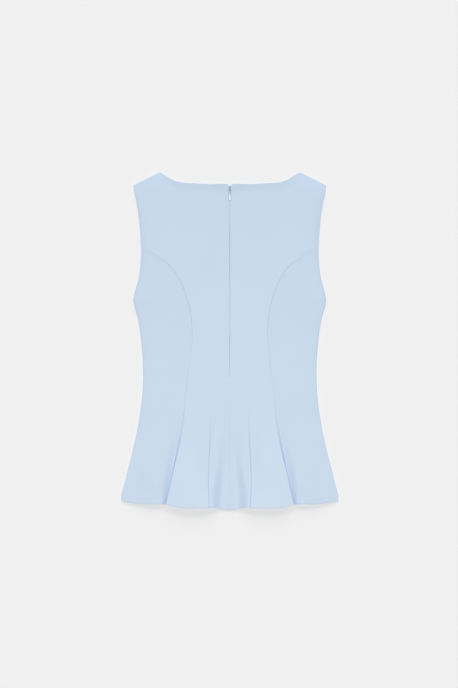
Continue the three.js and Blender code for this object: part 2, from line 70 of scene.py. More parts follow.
# %% [markdown]
# Most of the light comes from straight above. Level cloth is then the brightest, and a
# slope darkens with the cosine of its angle, which is how the photograph draws the
# flutes. This key light leans a little towards the hem, so that it also reaches the
# table just below it. A second, low and very wide sun behind the neck adds the soft
# shadow below the hem, and a weak sky keeps the folds from going black.

# %% Floor and light
FLOOR_HALF = 12.0
SKY = 0.17
LIGHTS = {
    "key": {"strength": 2.16, "tilt": -8.0, "width": 12.0},
    "low": {"strength": 1.24, "tilt": 64.0, "width": 36.0},
}

floor_mesh = bpy.data.meshes.new("floor")
corners = FLOOR_HALF * np.array([[-1, -1, 0], [1, -1, 0], [1, 1, 0], [-1, 1, 0]], float)
floor_mesh.from_pydata(corners.tolist(), [], [(0, 1, 2, 3)])
floor = bpy.data.objects.new("floor", floor_mesh)
scene.collection.objects.link(floor)


def new_material(name, inputs):
    """A material, its node tree and its shader, with the values of the shader's inputs."""
    material = bpy.data.materials.new(name)
    material.use_nodes = True
    tree = material.node_tree
    shader = tree.nodes["Principled BSDF"]
    for key, value in inputs.items():
        shader.inputs[key].default_value = value
    return material, tree, shader


paper = new_material("floor_paper", {
    "Base Color": (0.85, 0.85, 0.85, 1), "Roughness": 1.0, "Specular IOR Level": 0.0,
})[0]
floor_mesh.materials.append(paper)

world = bpy.data.worlds.new("sky")
world.use_nodes = True
world.node_tree.nodes["Background"].inputs["Strength"].default_value = SKY
world.node_tree.nodes["Background"].inputs["Color"].default_value = (1, 1, 1, 1)
scene.world = world

for name, values in LIGHTS.items():
    light = bpy.data.lights.new(name, "SUN")
    light.energy = values["strength"]
    light.angle = np.radians(values["width"])
    light_object = bpy.data.objects.new(name, light)
    # The tilt is in degrees from straight down; above zero the light comes from the neck
    light_object.rotation_euler = (-np.radians(values["tilt"]), 0, 0)
    scene.collection.objects.link(light_object)
    print(name, "light:", values)

# %% [markdown]
# A garment is measured at stations, as a maker reads a pattern: so far down from the
# neck, so far out from the middle. Each table below has a named column for each
# measure, in millimetres. `read` draws a smooth line through one column, and never
# swings past the rows, so an edge has no ripples that were not measured. Down the middle
# the table also says how far the edges at the zip bulge, because its line is uneven.

# %% Tables of measures


def table(columns, *rows):
    """Rows of numbers as a dictionary with an array for each named column."""
    return dict(zip(columns.split(), np.array(rows, float).T))


def read(rows, key, column, at):
    """A cubic through the rows: at a row its slope is the harmonic mean of the slopes on
    both sides, or 0 where they differ in sign, and past the ends it is level."""
    x, y = rows[key], rows[column]
    width = np.diff(x)
    rise = np.diff(y) / width
    before, after = rise[:-1], rise[1:]
    agree = before * after > 0
    inner = np.where(agree, 2 * before * after / np.where(agree, before + after, 1), 0)
    slope = np.concatenate([rise[:1], inner, rise[-1:]])
    at = np.clip(at, x[0], x[-1])
    i = np.clip(np.searchsorted(x, at, side="right") - 1, 0, len(x) - 2)
    h = width[i]
    s = (at - x[i]) / h
    value = y[i] * (1 + 2 * s) * (1 - s) ** 2 + y[i + 1] * s * s * (3 - 2 * s)
    return value + slope[i] * h * s * (1 - s) ** 2 + slope[i + 1] * h * s * s * (s - 1)


def ease(share):
    """A smooth step: 3 s² - 2 s³ for s from 0 to 1."""
    s = np.clip(share, 0, 1)
    return s * s * (3 - 2 * s)


ARMHOLE = table(
    "down half",
    (25.4, 188.2), (36, 187.2), (56, 182.8), (95, 177), (134, 174), (153, 173.4),
    (173, 174), (192, 175.6), (211, 179), (231, 184.6), (249, 188.6),
)
SIDE = table(
    "down half",
    (249, 188.6), (262, 186), (290, 178.4), (329, 173), (368, 169.8), (397, 169.2),
    (426, 170.1), (465, 174.4), (504, 181), (543, 189.6), (602, 204.2), (641, 212.2),
)
NECK = table(
    "off down",
    (1.25, 27), (2.2, 25.4), (4, 24.4), (7, 23.8), (12, 23.5), (37, 23.4), (60, 22.4),
    (92, 20.4), (107, 17), (123, 8.6), (136.5, 0),
)
HEM = table(
    "off down",
    (0, 660), (14, 658.4), (24, 656.1), (34, 654.7), (45, 655.9), (84, 656),
    (99, 655.1), (107, 653.5), (117, 650), (125, 648.8), (140, 648.2), (152, 648.3),
    (170, 648.2), (188, 646.6), (200, 644.9), (212.2, 642.1),
)
PRINCESS = table(
    "down off",
    (150.5, 173.4), (153, 164.5), (158, 152), (169, 135.5), (178, 122), (192, 109),
    (211.5, 96.5), (231, 88.7), (250.5, 82.7), (270, 77.4), (290, 74.8), (315, 73.4),
    (348, 75.3), (387, 80), (426, 85), (465, 88.6), (524, 98), (563, 106.2),
    (602, 114.6), (655, 125),
)
CENTRE_GAP = table(
    "down half bulge",
    (27, 1.25, 0.22), (42, 1.25, 0.22), (48, 0.08, 0.18), (66, 0.065, 0.14),
    (89, 0.055, 0.12), (113, 0.11, 0.22), (137, 0.185, 0.36), (160, 0.18, 0.36),
    (183, 0.145, 0.31), (207, 0.115, 0.25), (254, 0.075, 0.17), (277, 0.07, 0.15),
    (300, 0.045, 0.09), (320, 0.12, 0.25), (347, 0.175, 0.36), (371, 0.16, 0.3),
    (386, 0.05, 0.08), (396, 0.02, 0.04), (402, 0.006, 0.012), (440, 0.008, 0.016),
    (470, 0.01, 0.02), (512, 0.022, 0.06), (550, 0.022, 0.06), (580, 0.012, 0.03),
    (605, 0.002, 0.005), (660, 0.002, 0.005),
)
for line, rows, column in (("princess seam", PRINCESS, "off"), ("side", SIDE, "half")):
    off = float(read(rows, "down", column, 400))
    print(line, "at the waist, mm from the middle:", round(off, 1))

# %% [markdown]
# The outline follows from the tables. The front's neckline and armholes are cut a
# little lower and further in, so from above they only press through the back as a
# faint line inside its edge.

# %% Outlines
LENGTH = 660.0
NECK_POINT = 136.5
NOTCH_HALF = 12.0
SHOULDER = (188.2, 25.4)
UNDERARM_DOWN = 249.0
FRONT_NECK_DROP = 15.0
FRONT_ARMHOLE_HOLLOW = 7.0
FRONT_HEM_RISE = 8.0


def outline_half(down):
    """Half the width: the armhole's table above the underarm, the side's below it."""
    upper = read(ARMHOLE, "down", "half", down)
    return np.where(down < UNDERARM_DOWN, upper, read(SIDE, "down", "half", down))


def seam_off(down):
    """The princess seam's distance from the middle."""
    return read(PRINCESS, "down", "off", down)


def top_down(off):
    """The back's top edge: the neckline's curve, then a straight shoulder."""
    tip_off, tip_down = SHOULDER
    shoulder = tip_down * (off - NECK_POINT) / (tip_off - NECK_POINT)
    return np.where(off <= NECK_POINT, read(NECK, "off", "down", off), shoulder)


def front_neck_down(off):
    """The front's neckline: the back's without its notch, lowered by a parabola that ends
    at the shoulder."""
    drop = FRONT_NECK_DROP * (1 - (off / NECK_POINT) ** 2)
    return top_down(np.maximum(off, NOTCH_HALF)) + drop


def front_armhole_half(down):
    """The front's armhole: the back's, hollowed by half a sine wave."""
    share = np.clip((down - SHOULDER[1]) / (UNDERARM_DOWN - SHOULDER[1]), 0, 1)
    return read(ARMHOLE, "down", "half", down) - FRONT_ARMHOLE_HOLLOW * np.sin(np.pi * share)


# %% [markdown]
# Cloth on a table is never flat. Its edges are pressed to the layer below, and away
# from them it stays a few millimetres up on the air and the seams inside. `layer`
# gives that height for the middle of the cloth's thickness. Past the front's neckline
# and armholes there is one layer less below, so the back drops a little there.

# %% Height of the layer
CLOTH = 1.2  # thickness
REST = 2.1  # height of an edge, and LOFT is how much the cloth rises from there
LOFT = 2.5
SIDE_REACH = 12.0
TOP_REACH = 16.0
ZIP_LEVEL = {"from": 15.0, "over": 25.0}  # beside the zip the top edge isn't pressed down
EDGE_DROP = 0.5
PAST_ARMHOLE = {"before": 2.0, "over": 9.0}  # where the drop starts, and how long it is
PAST_NECK = {"before": -1.0, "over": 8.0}
SWELL = table(
    "down crown strip flank_off flank_half hump hump_reach sink",
    (445, 0, 0, 17, 8, 0, 20, 0),
    (485, 0.4, 0.4, 16, 8, 0.7, 20, 0.2),
    (524, 0.9, 1.6, 16.5, 8, 2.4, 20, 0.5),
    (563, 1.3, 3.2, 18, 8.8, 3.9, 20, 0.8),
    (602, 1.3, 5, 22.5, 10.6, 5.2, 19, 0.95),
    (628, 1.3, 6, 25.5, 11.8, 4.8, 14, 1),
    (655, 1.2, 7, 27.5, 12.6, 4.4, 9.5, 1),
)


def layer(off, down):
    """The middle of the cloth over the front: REST at an edge, rising by LOFT as
    1 - exp(-d / reach) from the sides and 1 - exp(-(d / reach)²) from the top, level
    beside the zip, and EDGE_DROP lower past the front's own edge."""
    off = np.abs(off)
    zip_side = 1 - ease((off - ZIP_LEVEL["from"]) / ZIP_LEVEL["over"])
    from_top = np.maximum(0, down - top_down(off))
    from_side = np.maximum(0, outline_half(down) - off)
    top_rise = 1 - np.exp(-((from_top / TOP_REACH) ** 2))
    top_rise = top_rise + (1 - top_rise) * zip_side
    side_rise = 1 - np.exp(-from_side / SIDE_REACH)
    outside = off - front_armhole_half(down) + PAST_ARMHOLE["before"]
    past_armhole = ease(outside / PAST_ARMHOLE["over"])
    above = front_neck_down(off) - down + PAST_NECK["before"]
    past_neck = ease(above / PAST_NECK["over"]) * (1 - zip_side)
    past = np.maximum(past_armhole, np.where(off < NECK_POINT, past_neck, 0))
    past = np.where(down > UNDERARM_DOWN, 0, past)
    loft = LOFT * (1 - read(SWELL, "down", "sink", down)) * top_rise * side_rise
    return REST + loft - EDGE_DROP * past


for off, down in ((30.0, 200.0), (150.0, 400.0), (180.0, 60.0)):
    up = float(layer(off, down))
    print("layer", off, "mm out and", down, "mm down, height in mm:", round(up, 2))

# %% [markdown]
# Handling leaves marks in cloth. Each row of the table is a soft trough or a ridge placed
# from one point to another, with its own width and height, so no two are alike.
# Three long waves keep the rest from being level, and the slider presses up from below.
# The zip and the sewn edges are stiff, so the marks fade out beside them.

# %% Creases and waves
CREASES = table(
    "x1 down1 x2 down2 width height",
    (-96, 104, -91, 168, 7, -0.35),
    (88, 96, 97, 150, 9, -0.28),
    (-150, 236, -182, 254, 8, 0.35),
    (146, 240, 183, 252, 7, 0.32),
    (-158, 262, -178, 268, 6, -0.3),
    (156, 266, 176, 270, 6, -0.26),
    (-24, 404, 26, 403, 3.5, -0.35),
    (-18, 411, 22, 413, 3.5, 0.22),
    (-34, 428, -12, 408, 5, 0.3),
    (37, 432, 14, 410, 5, 0.28),
    (-154, 392, -122, 404, 10, -0.3),
    (158, 380, 118, 400, 11, -0.34),
    (-150, 418, -104, 440, 9, 0.25),
    (152, 424, 108, 438, 8, 0.22),
    (-196, 548, -205, 640, 5, 0.7),
    (190, 536, 203, 640, 5, 0.75),
    (-176, 556, -186, 640, 10, -0.6),
    (174, 566, 182, 640, 11, -0.55),
    (-130, 530, -146, 600, 10, -0.5),
    (132, 540, 150, 612, 11, -0.55),
    (60, 96, 120, 70, 14, 0.25),
    (-66, 86, -124, 74, 15, 0.22),
)
CREASE_BOW = 0.04  # how far a crease bows, as a share of its length
CREASE_TRIM = 0.05  # how much of the fading is cut off at each end
WAVES = table(
    "across along start height",
    (0.031, 0.023, 0.6, 0.14), (-0.047, 0.029, 2.1, 0.11), (0.019, -0.053, 4, 0.08),
)
SLIDER_BUMP = {"height": 0.45, "half_x": 4.2, "half_y": 5.5, "down": 33.0}
EDGE_FADE = 10.0  # marks and waves fade within this of an edge
ZIP_STIFF = {"share": 0.8, "reach": 8.0, "to": 400.0}  # the zip stiffens the cloth beside it


def creases(marks, x, down):
    """The sum over the marks of height · exp(-(distance / width)²) · sin(pi · share)²,
    distance being square to the mark's line, which bows a little, and share the way
    along it."""
    total = np.zeros(np.broadcast(x, down).shape)
    for x1, d1, x2, d2, width, height in zip(*marks.values()):
        line = np.array([x2 - x1, d2 - d1])
        length = np.hypot(*line)
        along = ((x - x1) * line[0] + (down - d1) * line[1]) / length**2
        square = ((x - x1) * line[1] - (down - d1) * line[0]) / length
        square = square + CREASE_BOW * length * (along - 0.5) ** 2
        share = np.clip(along * (1 - 2 * CREASE_TRIM) + CREASE_TRIM, 0, 1)
        fade = np.sin(np.pi * share) ** 2
        total = total + height * np.exp(-((square / width) ** 2)) * fade
    return total


def waves(x, down):
    """Three long waves that cross at odd angles, together within 0.35 mm: the sum of
    height · sin(across · x + along · down + start)."""
    return sum(
        height * np.sin(across * x + along * down + start)
        for across, along, start, height in zip(*WAVES.values())
    )


def slider_bump(x, down):
    """The slider's body under the cloth: height · exp(-(x / half_x)⁴ - (d / half_y)⁴)."""
    d = (down - SLIDER_BUMP["down"]) / SLIDER_BUMP["half_y"]
    return SLIDER_BUMP["height"] * np.exp(-((x / SLIDER_BUMP["half_x"]) ** 4) - d**4)


def back_height(x, down):
    """Everything that raises or lowers the back's cloth, apart from its folds."""
    off = np.abs(x)
    fade = 1 - np.exp(-np.maximum(0, outline_half(down) - off) / EDGE_FADE)
    fade = fade * (1 - np.exp(-np.maximum(0, down - top_down(off)) / EDGE_FADE))
    stiff = ZIP_STIFF["share"] * np.exp(-off / ZIP_STIFF["reach"]) * (down < ZIP_STIFF["to"])
    fade = fade * (1 - stiff)
    marks = creases(CREASES, x, down) + waves(x, down)
    return layer(x, down) + marks * fade + slider_bump(x, down)


for place, x, down in (("by the zip", 5.0, 200.0), ("at the side", 150.0, 400.0)):
    print("height of the cloth", place, "in mm:", round(float(back_height(x, down)), 2))

# %% [markdown]
# A flute starts at the waist, because the peplum is cut wider than the body. The extra
# cloth folds over at its edge. In a cross section that fold is an arc, a straight leg
# and an arc back. It turns further over towards the hem, and the cloth in its arcs
# keeps its length, so nothing is stretched. The princess seam lies in the middle of the
# outer fold's leg, so half of that fold belongs to each panel. A smaller fold runs down
# the flute's inner side, and from there a long flank falls to the low middle.

# %% Folds
OUTER_ARC = 2.8
INNER_ARC = 1.8
HUMP_LEAD = 0.3
HUMP_LEVEL = 0.3
FLANK_GAP = 0.4  # the flank starts at least this far inside the fold's foot
COLUMNS = {"fold": 7, "flute": 40, "flank": 20, "low": 18, "side": 45}
ZIP_CROWD = 1.5  # above 1, the columns crowd towards the zip
FOOT_CROWD = 1.3  # and those of a side panel towards the foot of its fold
FOLDS = table(
    "down turn leg inner_turn inner_leg inner_off",
    (445, 0, 0.6, 0, 0.5, 36.4),
    (485, 20, 0.6, 17, 0.5, 37),
    (524, 38, 1, 30, 0.5, 38.6),
    (563, 74, 2, 34, 0.5, 40.8),
    (602, 108, 2.8, 34, 0.5, 42),
    (655, 118, 3.2, 36, 0.6, 40.2),
)


def half_fold(arc, turn, leg):
    """From a fold's lip to the middle of its leg: outwards r sin a and downwards
    r (1 - cos a) with r = arc / turn, for a from 0 to the turn, then half the leg."""
    angle = np.radians(np.maximum(turn, 0.01))[:, None]
    radius = arc / angle
    a = angle * np.linspace(0, 1, COLUMNS["fold"] + 1)
    x = radius * np.sin(a)
    z = -radius * (1 - np.cos(a))
    half_leg = leg[:, None] / 2
    x = np.hstack([x, x[:, -1:] + half_leg * np.cos(angle)])
    z = np.hstack([z, z[:, -1:] - half_leg * np.sin(angle)])
    return x, z


def fold_halves(down):
    """The outer and the inner half fold at each row, and the lips that they start from,
    so that the outer one ends on the princess seam."""
    outer = [read(FOLDS, "down", column, down) for column in ("turn", "leg")]
    inner = [read(FOLDS, "down", column, down) for column in ("inner_turn", "inner_leg")]
    out_x, out_z = half_fold(OUTER_ARC, *outer)
    in_x, in_z = half_fold(INNER_ARC, *inner)
    lip = seam_off(down)[:, None] - out_x.max(axis=1, keepdims=True)
    inner_off = read(FOLDS, "down", "inner_off", down)[:, None]
    inner_lip = inner_off + in_x.max(axis=1, keepdims=True)
    return out_x, out_z, in_x, in_z, lip, inner_lip


def centre_section(side, down):
    """Places and heights across a centre back panel, a row for each value of down: from
    the princess seam over the flute, its inner fold and its flank to the low middle."""
    out_x, out_z, in_x, in_z, lip, inner_lip = fold_halves(down)
    row = down[:, None]
    strip = read(SWELL, "down", "strip", row)
    rise, inner_rise = -2 * out_z[:, -1:], strip - 2 * in_z[:, -1:]
    foot = inner_lip - 2 * in_x[:, -1:]
    share = np.linspace(0, 1, COLUMNS["flute"] + 1)[None, 1:]
    top_x = lip + (inner_lip - lip) * share
    crown = read(SWELL, "down", "crown", row) * np.sin(np.pi * share) ** 2
    top_lift = rise + (inner_rise - rise) * share + crown
    middle, half = (read(SWELL, "down", column, row) for column in ("flank_off", "flank_half"))
    start = np.minimum(middle + half, foot - FLANK_GAP)
    share = np.linspace(0, 1, COLUMNS["flank"] + 1)[None, :]
    flank_x = start + (middle - half - start) * share
    flank_lift = strip * (1 - ease(share))
    gap = read(CENTRE_GAP, "down", "half", row)
    share = 1 - (1 - np.linspace(0, 1, COLUMNS["low"] + 1)[None, 1:]) ** ZIP_CROWD
    low_x = middle - half + (gap - middle + half) * share
    x = np.hstack([
        lip + out_x[:, ::-1], top_x, inner_lip - in_x[:, 1:],
        foot + in_x[:, -2::-1], flank_x, low_x,
    ])
    lift = np.hstack([
        rise + out_z[:, ::-1], top_lift, inner_rise + in_z[:, 1:],
        strip - in_z[:, -2::-1], flank_lift, 0 * low_x,
    ])
    return x, lift + back_height(side * x, row + 0 * x)


def side_section(side, down):
    """Places and heights across a side back panel, from the princess seam to its edge:
    half a fold, then a hump that rises by a smooth step without its first part, which is
    (ease(lead + (1 - lead) d / reach) - ease(lead)) / (1 - ease(lead)), and falls by
    another."""
    out_x, out_z, _, _, lip, _ = fold_halves(down)
    row = down[:, None]
    foot = lip + 2 * out_x[:, -1:]
    edge = read(SIDE, "down", "half", row)
    share = np.linspace(0, 1, COLUMNS["side"] + 1)[None, 1:] ** FOOT_CROWD
    flat_x = foot + (edge - foot) * share
    part = (flat_x - foot) / read(SWELL, "down", "hump_reach", row)
    lead = ease(HUMP_LEAD)
    climb = (ease(HUMP_LEAD + (1 - HUMP_LEAD) * part) - lead) / (1 - lead)
    fall = ease((share - HUMP_LEVEL) / (1 - HUMP_LEVEL))
    x = np.hstack([foot - out_x[:, ::-1], flat_x])
    lift = np.hstack([-out_z[:, ::-1], read(SWELL, "down", "hump", row) * climb * (1 - fall)])
    return x, lift + back_height(side * x, row + 0 * x)


wide = fold_halves(np.array([655.0]))
print("height of the outer fold at the hem, mm:", round(float(-2 * wide[1][0, -1]), 2))

# %% [markdown]
# A panel is a grid of points in the middle of its cloth. Rows run across it and columns
# run down it. Below the waist each row is one of the sections above, and the last rows
# bend gradually to the curve of the hem.

# %% Rows and columns
WAIST_DOWN = 420.0
HEM_BLEND = 600.0
LOWEST_ROW = 655.0
ROW_STEP = 2.2


def stations(step, *marks):
    """Rows through every mark, at most a step apart."""
    runs = [
        np.linspace(a, b, int(np.ceil((b - a) / step)), endpoint=False)
        for a, b in zip(marks[:-1], marks[1:])
    ]
    return np.concatenate([*runs, marks[-1:]])


def bend_to_hem(x, down):
    """Rows below HEM_BLEND move down in proportion, so that the last is the hem's curve."""
    share = (down - HEM_BLEND) / (LOWEST_ROW - HEM_BLEND)
    bent = HEM_BLEND + (read(HEM, "off", "down", np.abs(x)) - HEM_BLEND) * share
    return np.where(share > 0, bent, down)


def points(side, x, down, z):
    """A grid of points in millimetres, in the frame's axes."""
    x, down, z = np.broadcast_arrays(x, down, z)
    return np.stack([side * x, LENGTH / 2 - down, z], axis=-1)


def skirt(side, section):
    """The panel's points below the waist, from its section at each row."""
    down = stations(ROW_STEP, WAIST_DOWN, HEM_BLEND, LOWEST_ROW)
    x, z = section(side, down)
    return points(side, x, bend_to_hem(x, down[:, None]), z)


def shares_of(x):
    """Each column's share of the way from the first to the last."""
    return (x - x[:, :1]) / (x[:, -1:] - x[:, :1])


print("rows below the waist:", len(skirt(1, centre_section)))

# %% [markdown]
# Above the waist there are no folds, and the same columns simply spread over the centre
# panel. Near the top they bend to the neckline and the shoulder, and crowd together to
# draw the small notch at the zip.

# %% Grid of a centre back panel
YOKE_DOWN = 56.0
SEAM_TOP = 150.5
BODY_ROWS = (  # step, from and to: the rows are close where the princess seam starts
    (ROW_STEP, YOKE_DOWN, SEAM_TOP), (0.5, SEAM_TOP, 158.0), (1.4, 158.0, 200.0),
    (ROW_STEP, 200.0, WAIST_DOWN),
)
CORNER_SHARE = 0.3  # the column that runs to the neck's corner
YOKE_ROWS = 26
NECK_CROWD = 1.6  # above 1, the rows crowd towards the neckline
# The columns near the armhole and near the zip follow that edge, by a share raised to
# this power: the higher, the fewer columns follow
ARMHOLE_REACH, NOTCH_REACH = 2, 16


def centre_grid(side):
    """A centre back panel, its rows from the neck to the hem and its columns from the
    armhole or princess seam to the middle."""
    share = shares_of(centre_section(side, np.array([WAIST_DOWN]))[0])
    down = np.concatenate([stations(*run)[:-1] for run in BODY_ROWS])[:, None]
    edge = np.where(down < SEAM_TOP, read(ARMHOLE, "down", "half", down), seam_off(down))
    gap = read(CENTRE_GAP, "down", "half", down)
    x = edge + (gap - edge) * share
    body = points(side, x, down, back_height(side * x, down + 0 * x))

    corner = int(np.argmin(np.abs(share[0] - CORNER_SHARE)))
    cut = share[:, corner : corner + 1]
    notch = CENTRE_GAP["half"][0]
    neck = NECK_POINT + (notch - NECK_POINT) * (share - cut) / (1 - cut)
    shoulder = SHOULDER[0] + (NECK_POINT - SHOULDER[0]) * share / cut
    top_off = np.where(share <= cut, shoulder, neck)
    up = 1 - np.linspace(0, 1, YOKE_ROWS, endpoint=False)[:, None] ** NECK_CROWD
    yoke_down = YOKE_DOWN + (top_down(top_off) - YOKE_DOWN) * up
    yoke_x = x[:1] + (top_off - x[:1]) * up
    edge_down = YOKE_DOWN + (SHOULDER[1] - YOKE_DOWN) * up
    edge_move = read(ARMHOLE, "down", "half", edge_down) - yoke_x[:, :1]
    yoke_x = yoke_x + edge_move * (1 - share) ** ARMHOLE_REACH
    gap_move = read(CENTRE_GAP, "down", "half", yoke_down[:, -1:]) - yoke_x[:, -1:]
    yoke_x = yoke_x + gap_move * share**NOTCH_REACH
    yoke = points(side, yoke_x, yoke_down, back_height(side * yoke_x, yoke_down))

    return np.concatenate([yoke, body, skirt(side, centre_section)])


print("rows and columns of a centre back panel:", centre_grid(1).shape[:2])

# %% [markdown]
# The side panel narrows to a point at the armhole, so its rows slant. The table pairs the
# place where a row starts on the seam with the place where it ends at the edge.

# %% Grid of a side back panel
SIDE_STEP = 1.8
SIDE_ROWS = table(
    "seam edge",
    (150.8, 151.3), (153, 160), (158, 173), (169, 192), (178, 211), (192, 231),
    (211.5, 249), (231, 262), (270, 290), (315, 325), (368, 368), (420, 420),
)


def side_grid(side):
    """A side back panel, its rows from the armhole to the hem and its columns from the
    princess seam to the edge."""
    share = shares_of(side_section(side, np.array([WAIST_DOWN]))[0])
    edge = stations(SIDE_STEP, *SIDE_ROWS["edge"])[:-1]
    seam = np.interp(edge, SIDE_ROWS["edge"], SIDE_ROWS["seam"])
    edge_x = outline_half(edge)[:, None]
    seam_x = seam_off(seam)[:, None]
    x = seam_x + (edge_x - seam_x) * share
    down = seam[:, None] + (edge - seam)[:, None] * share
    body = points(side, x, down, back_height(side * x, down))
    return np.concatenate([body, skirt(side, side_section)])


print("rows and columns of a side back panel:", side_grid(1).shape[:2])

# %% [markdown]
# A grid becomes cloth in three moves. The first draws its edges in, to make room for a
# rounded rim. Only the points within a few millimetres of an edge follow it.

# %% Drawing an edge in


def draw_in(grid, axis, last, distance, reach=8.0):
    """Moves one edge of the grid inwards, square to itself, by distance, and its
    neighbours by distance · (1 - s / reach)², s being their own distance from the edge.
    The grid itself is changed."""
    g = np.moveaxis(grid, axis, 0)
    g = g[::-1] if last else g
    edge = g[0]
    tangent = np.gradient(edge, axis=0)
    tangent /= np.linalg.norm(tangent, axis=-1, keepdims=True)
    inward = g[2] - g[0]
    inward -= (inward * tangent).sum(-1, keepdims=True) * tangent
    inward /= np.linalg.norm(inward, axis=-1, keepdims=True)
    step = np.diff(g, axis=0)
    slide = (step * tangent).sum(-1)
    square = np.sqrt(np.maximum((step**2).sum(-1) - slide**2, 0))
    s = np.concatenate([np.zeros((1, len(edge))), np.cumsum(square, axis=0)])
    fall = np.clip(1 - s / reach, 0, 1) ** 2
    distance = np.broadcast_to(distance, len(edge))
    g += fall[..., None] * distance[None, :, None] * inward


def unit(v):
    """Vectors of length 1."""
    return v / np.maximum(np.linalg.norm(v, axis=-1, keepdims=True), 1e-12)


trial = side_grid(1)
hem = trial[-1].copy()
draw_in(trial, 0, True, 1.0)
moved = np.linalg.norm(trial[-1] - hem, axis=-1).mean()
print("a hem that is drawn in by 1 mm moves by", round(float(moved), 3))

# %% [markdown]
# Blender takes a mesh as plain arrays: the places of the points, and for each face the
# numbers of its corners. The weave needs a map that follows the cloth round its folds,
# as if the panel lay flat, so that its grain is nowhere stretched.

# %% Meshes and the map of the weave


def make_mesh(name, places, faces, uv):
    """A smooth mesh object from points in millimetres, an array of four-sided faces and
    each point's place on the weave's map, in millimetres too."""
    mesh = bpy.data.meshes.new(name)
    mesh.vertices.add(len(places))
    mesh.vertices.foreach_set("co", (places * MM).astype(np.float32).ravel())
    mesh.loops.add(faces.size)
    mesh.loops.foreach_set("vertex_index", faces.astype(np.int32).ravel())
    mesh.polygons.add(len(faces))
    mesh.polygons.foreach_set("loop_start", np.arange(0, faces.size, 4, dtype=np.int32))
    mesh.update(calc_edges=True)
    mesh.validate()
    mesh.shade_smooth()
    weave = mesh.uv_layers.new(name="cloth")
    weave.data.foreach_set("uv", (uv[faces.ravel()] * MM).astype(np.float32).ravel())
    made = bpy.data.objects.new(name, mesh)
    scene.collection.objects.link(made)
    return made


def lengths_along(grid, axis):
    """Distance along the grid's lines from their first point, in one direction."""
    step = np.linalg.norm(np.diff(grid, axis=axis), axis=-1)
    start = np.zeros_like(np.take(step, [0], axis=axis))
    return np.concatenate([start, np.cumsum(step, axis=axis)], axis=axis)


def cloth_map(grid):
    """The map of a weave that follows the folds: u is the last column's x, plus or minus
    the sum of hypot(dx, dz) from there, so in flat cloth it is x, and v is the distance
    down."""
    step = np.diff(grid, axis=1)
    across = np.hypot(step[..., 0], step[..., 2])[:, ::-1]
    length = np.concatenate([np.cumsum(across, axis=1)[:, ::-1], 0 * across[:, :1]], axis=1)
    sign = np.sign(grid[0, 0, 0] - grid[0, -1, 0])
    return np.stack([grid[:, -1:, 0] + sign * length, -grid[..., 1]], -1).reshape(-1, 2)


low_row = skirt(1, centre_section)[-1:]
low_length = float(lengths_along(low_row, 1).max())
print("a centre back's hem, measured round its folds, mm:", round(low_length, 1))

# %% [markdown]
# The second move puts a copy of every point half a thickness to each side of the cloth.
# The third joins the two faces round the edge by half an ellipse, since a sewn edge is a
# fold and not a cut. How far this rim bulges is what makes a seam show: a full round
# shows as a groove, and a pressed seam with almost no bulge nearly disappears.

# %% From a grid to a shell
RIM_STEPS = 6


def shell(name, grid, thickness, top, bottom, first, last):
    """A closed shell on a grid: each point moved by half a thickness along plus and minus
    the normal, and a rim at normal · half · cos a + outwards · bulge · sin a, for a from 0
    to pi. top, bottom, first and last are the bulges of the first and last row and of the
    first and last column, each one number or one for each point."""
    draw_in(grid, 1, False, first)
    draw_in(grid, 1, True, last)
    draw_in(grid, 0, False, top)
    draw_in(grid, 0, True, bottom)
    rows, columns = grid.shape[:2]
    bulge = np.zeros((rows, columns))
    bulge[:, 0], bulge[:, -1], bulge[0], bulge[-1] = first, last, top, bottom
    along, across = np.gradient(grid, axis=0), np.gradient(grid, axis=1)
    normal = unit(np.cross(across, along))
    upwards = np.sign(normal[..., 2].mean())
    normal *= upwards
    index = np.arange(rows * columns).reshape(rows, columns)
    loop = np.concatenate([index[0, :-1], index[:-1, -1], index[-1, :0:-1], index[:0:-1, 0]])
    outward = np.zeros_like(grid)
    outward[0] -= unit(along[0])
    outward[-1] += unit(along[-1])
    outward[:, 0] -= unit(across[:, 0])
    outward[:, -1] += unit(across[:, -1])
    flat_normal = normal.reshape(-1, 3)[loop]
    out = outward.reshape(-1, 3)[loop]
    out = unit(out - (out * flat_normal).sum(-1, keepdims=True) * flat_normal)
    out *= bulge.ravel()[loop][:, None]
    edge = grid.reshape(-1, 3)[loop]
    turns = np.linspace(0, np.pi, RIM_STEPS + 1)[1:-1, None, None]
    half = thickness / 2
    rings = edge + half * flat_normal * np.cos(turns) + out * np.sin(turns)
    places = np.concatenate([
        (grid + half * normal).reshape(-1, 3),
        (grid - half * normal).reshape(-1, 3),
        rings.reshape(-1, 3),
    ])
    count, around = rows * columns, len(loop)
    corners = [index[:-1, :-1], index[:-1, 1:], index[1:, 1:], index[1:, :-1]]
    quads = np.stack(corners, -1).reshape(-1, 4)
    ring_index = 2 * count + np.arange((RIM_STEPS - 1) * around).reshape(-1, around)
    bands = np.vstack([loop, ring_index, loop + count])
    after = np.roll(bands, -1, axis=1)
    rim = np.stack([bands[:-1], bands[1:], after[1:], after[:-1]], -1).reshape(-1, 4)
    if upwards < 0:
        quads, rim = quads[:, ::-1], rim[:, ::-1]
    faces = np.concatenate([quads, (quads + count)[:, ::-1], rim])
    uv = cloth_map(grid)
    uv = np.concatenate([uv, uv, np.tile(uv[loop], (RIM_STEPS - 1, 1))])
    made = make_mesh(name, places, faces, uv)
    print(name, "has", len(faces) * 2, "triangles")
    return made


# %% [markdown]
# A material is a tree of small nodes that pass numbers and colours on. These helpers make
# the kinds of node that the finishes below need, each joined to the ones before it.

# %% Nodes


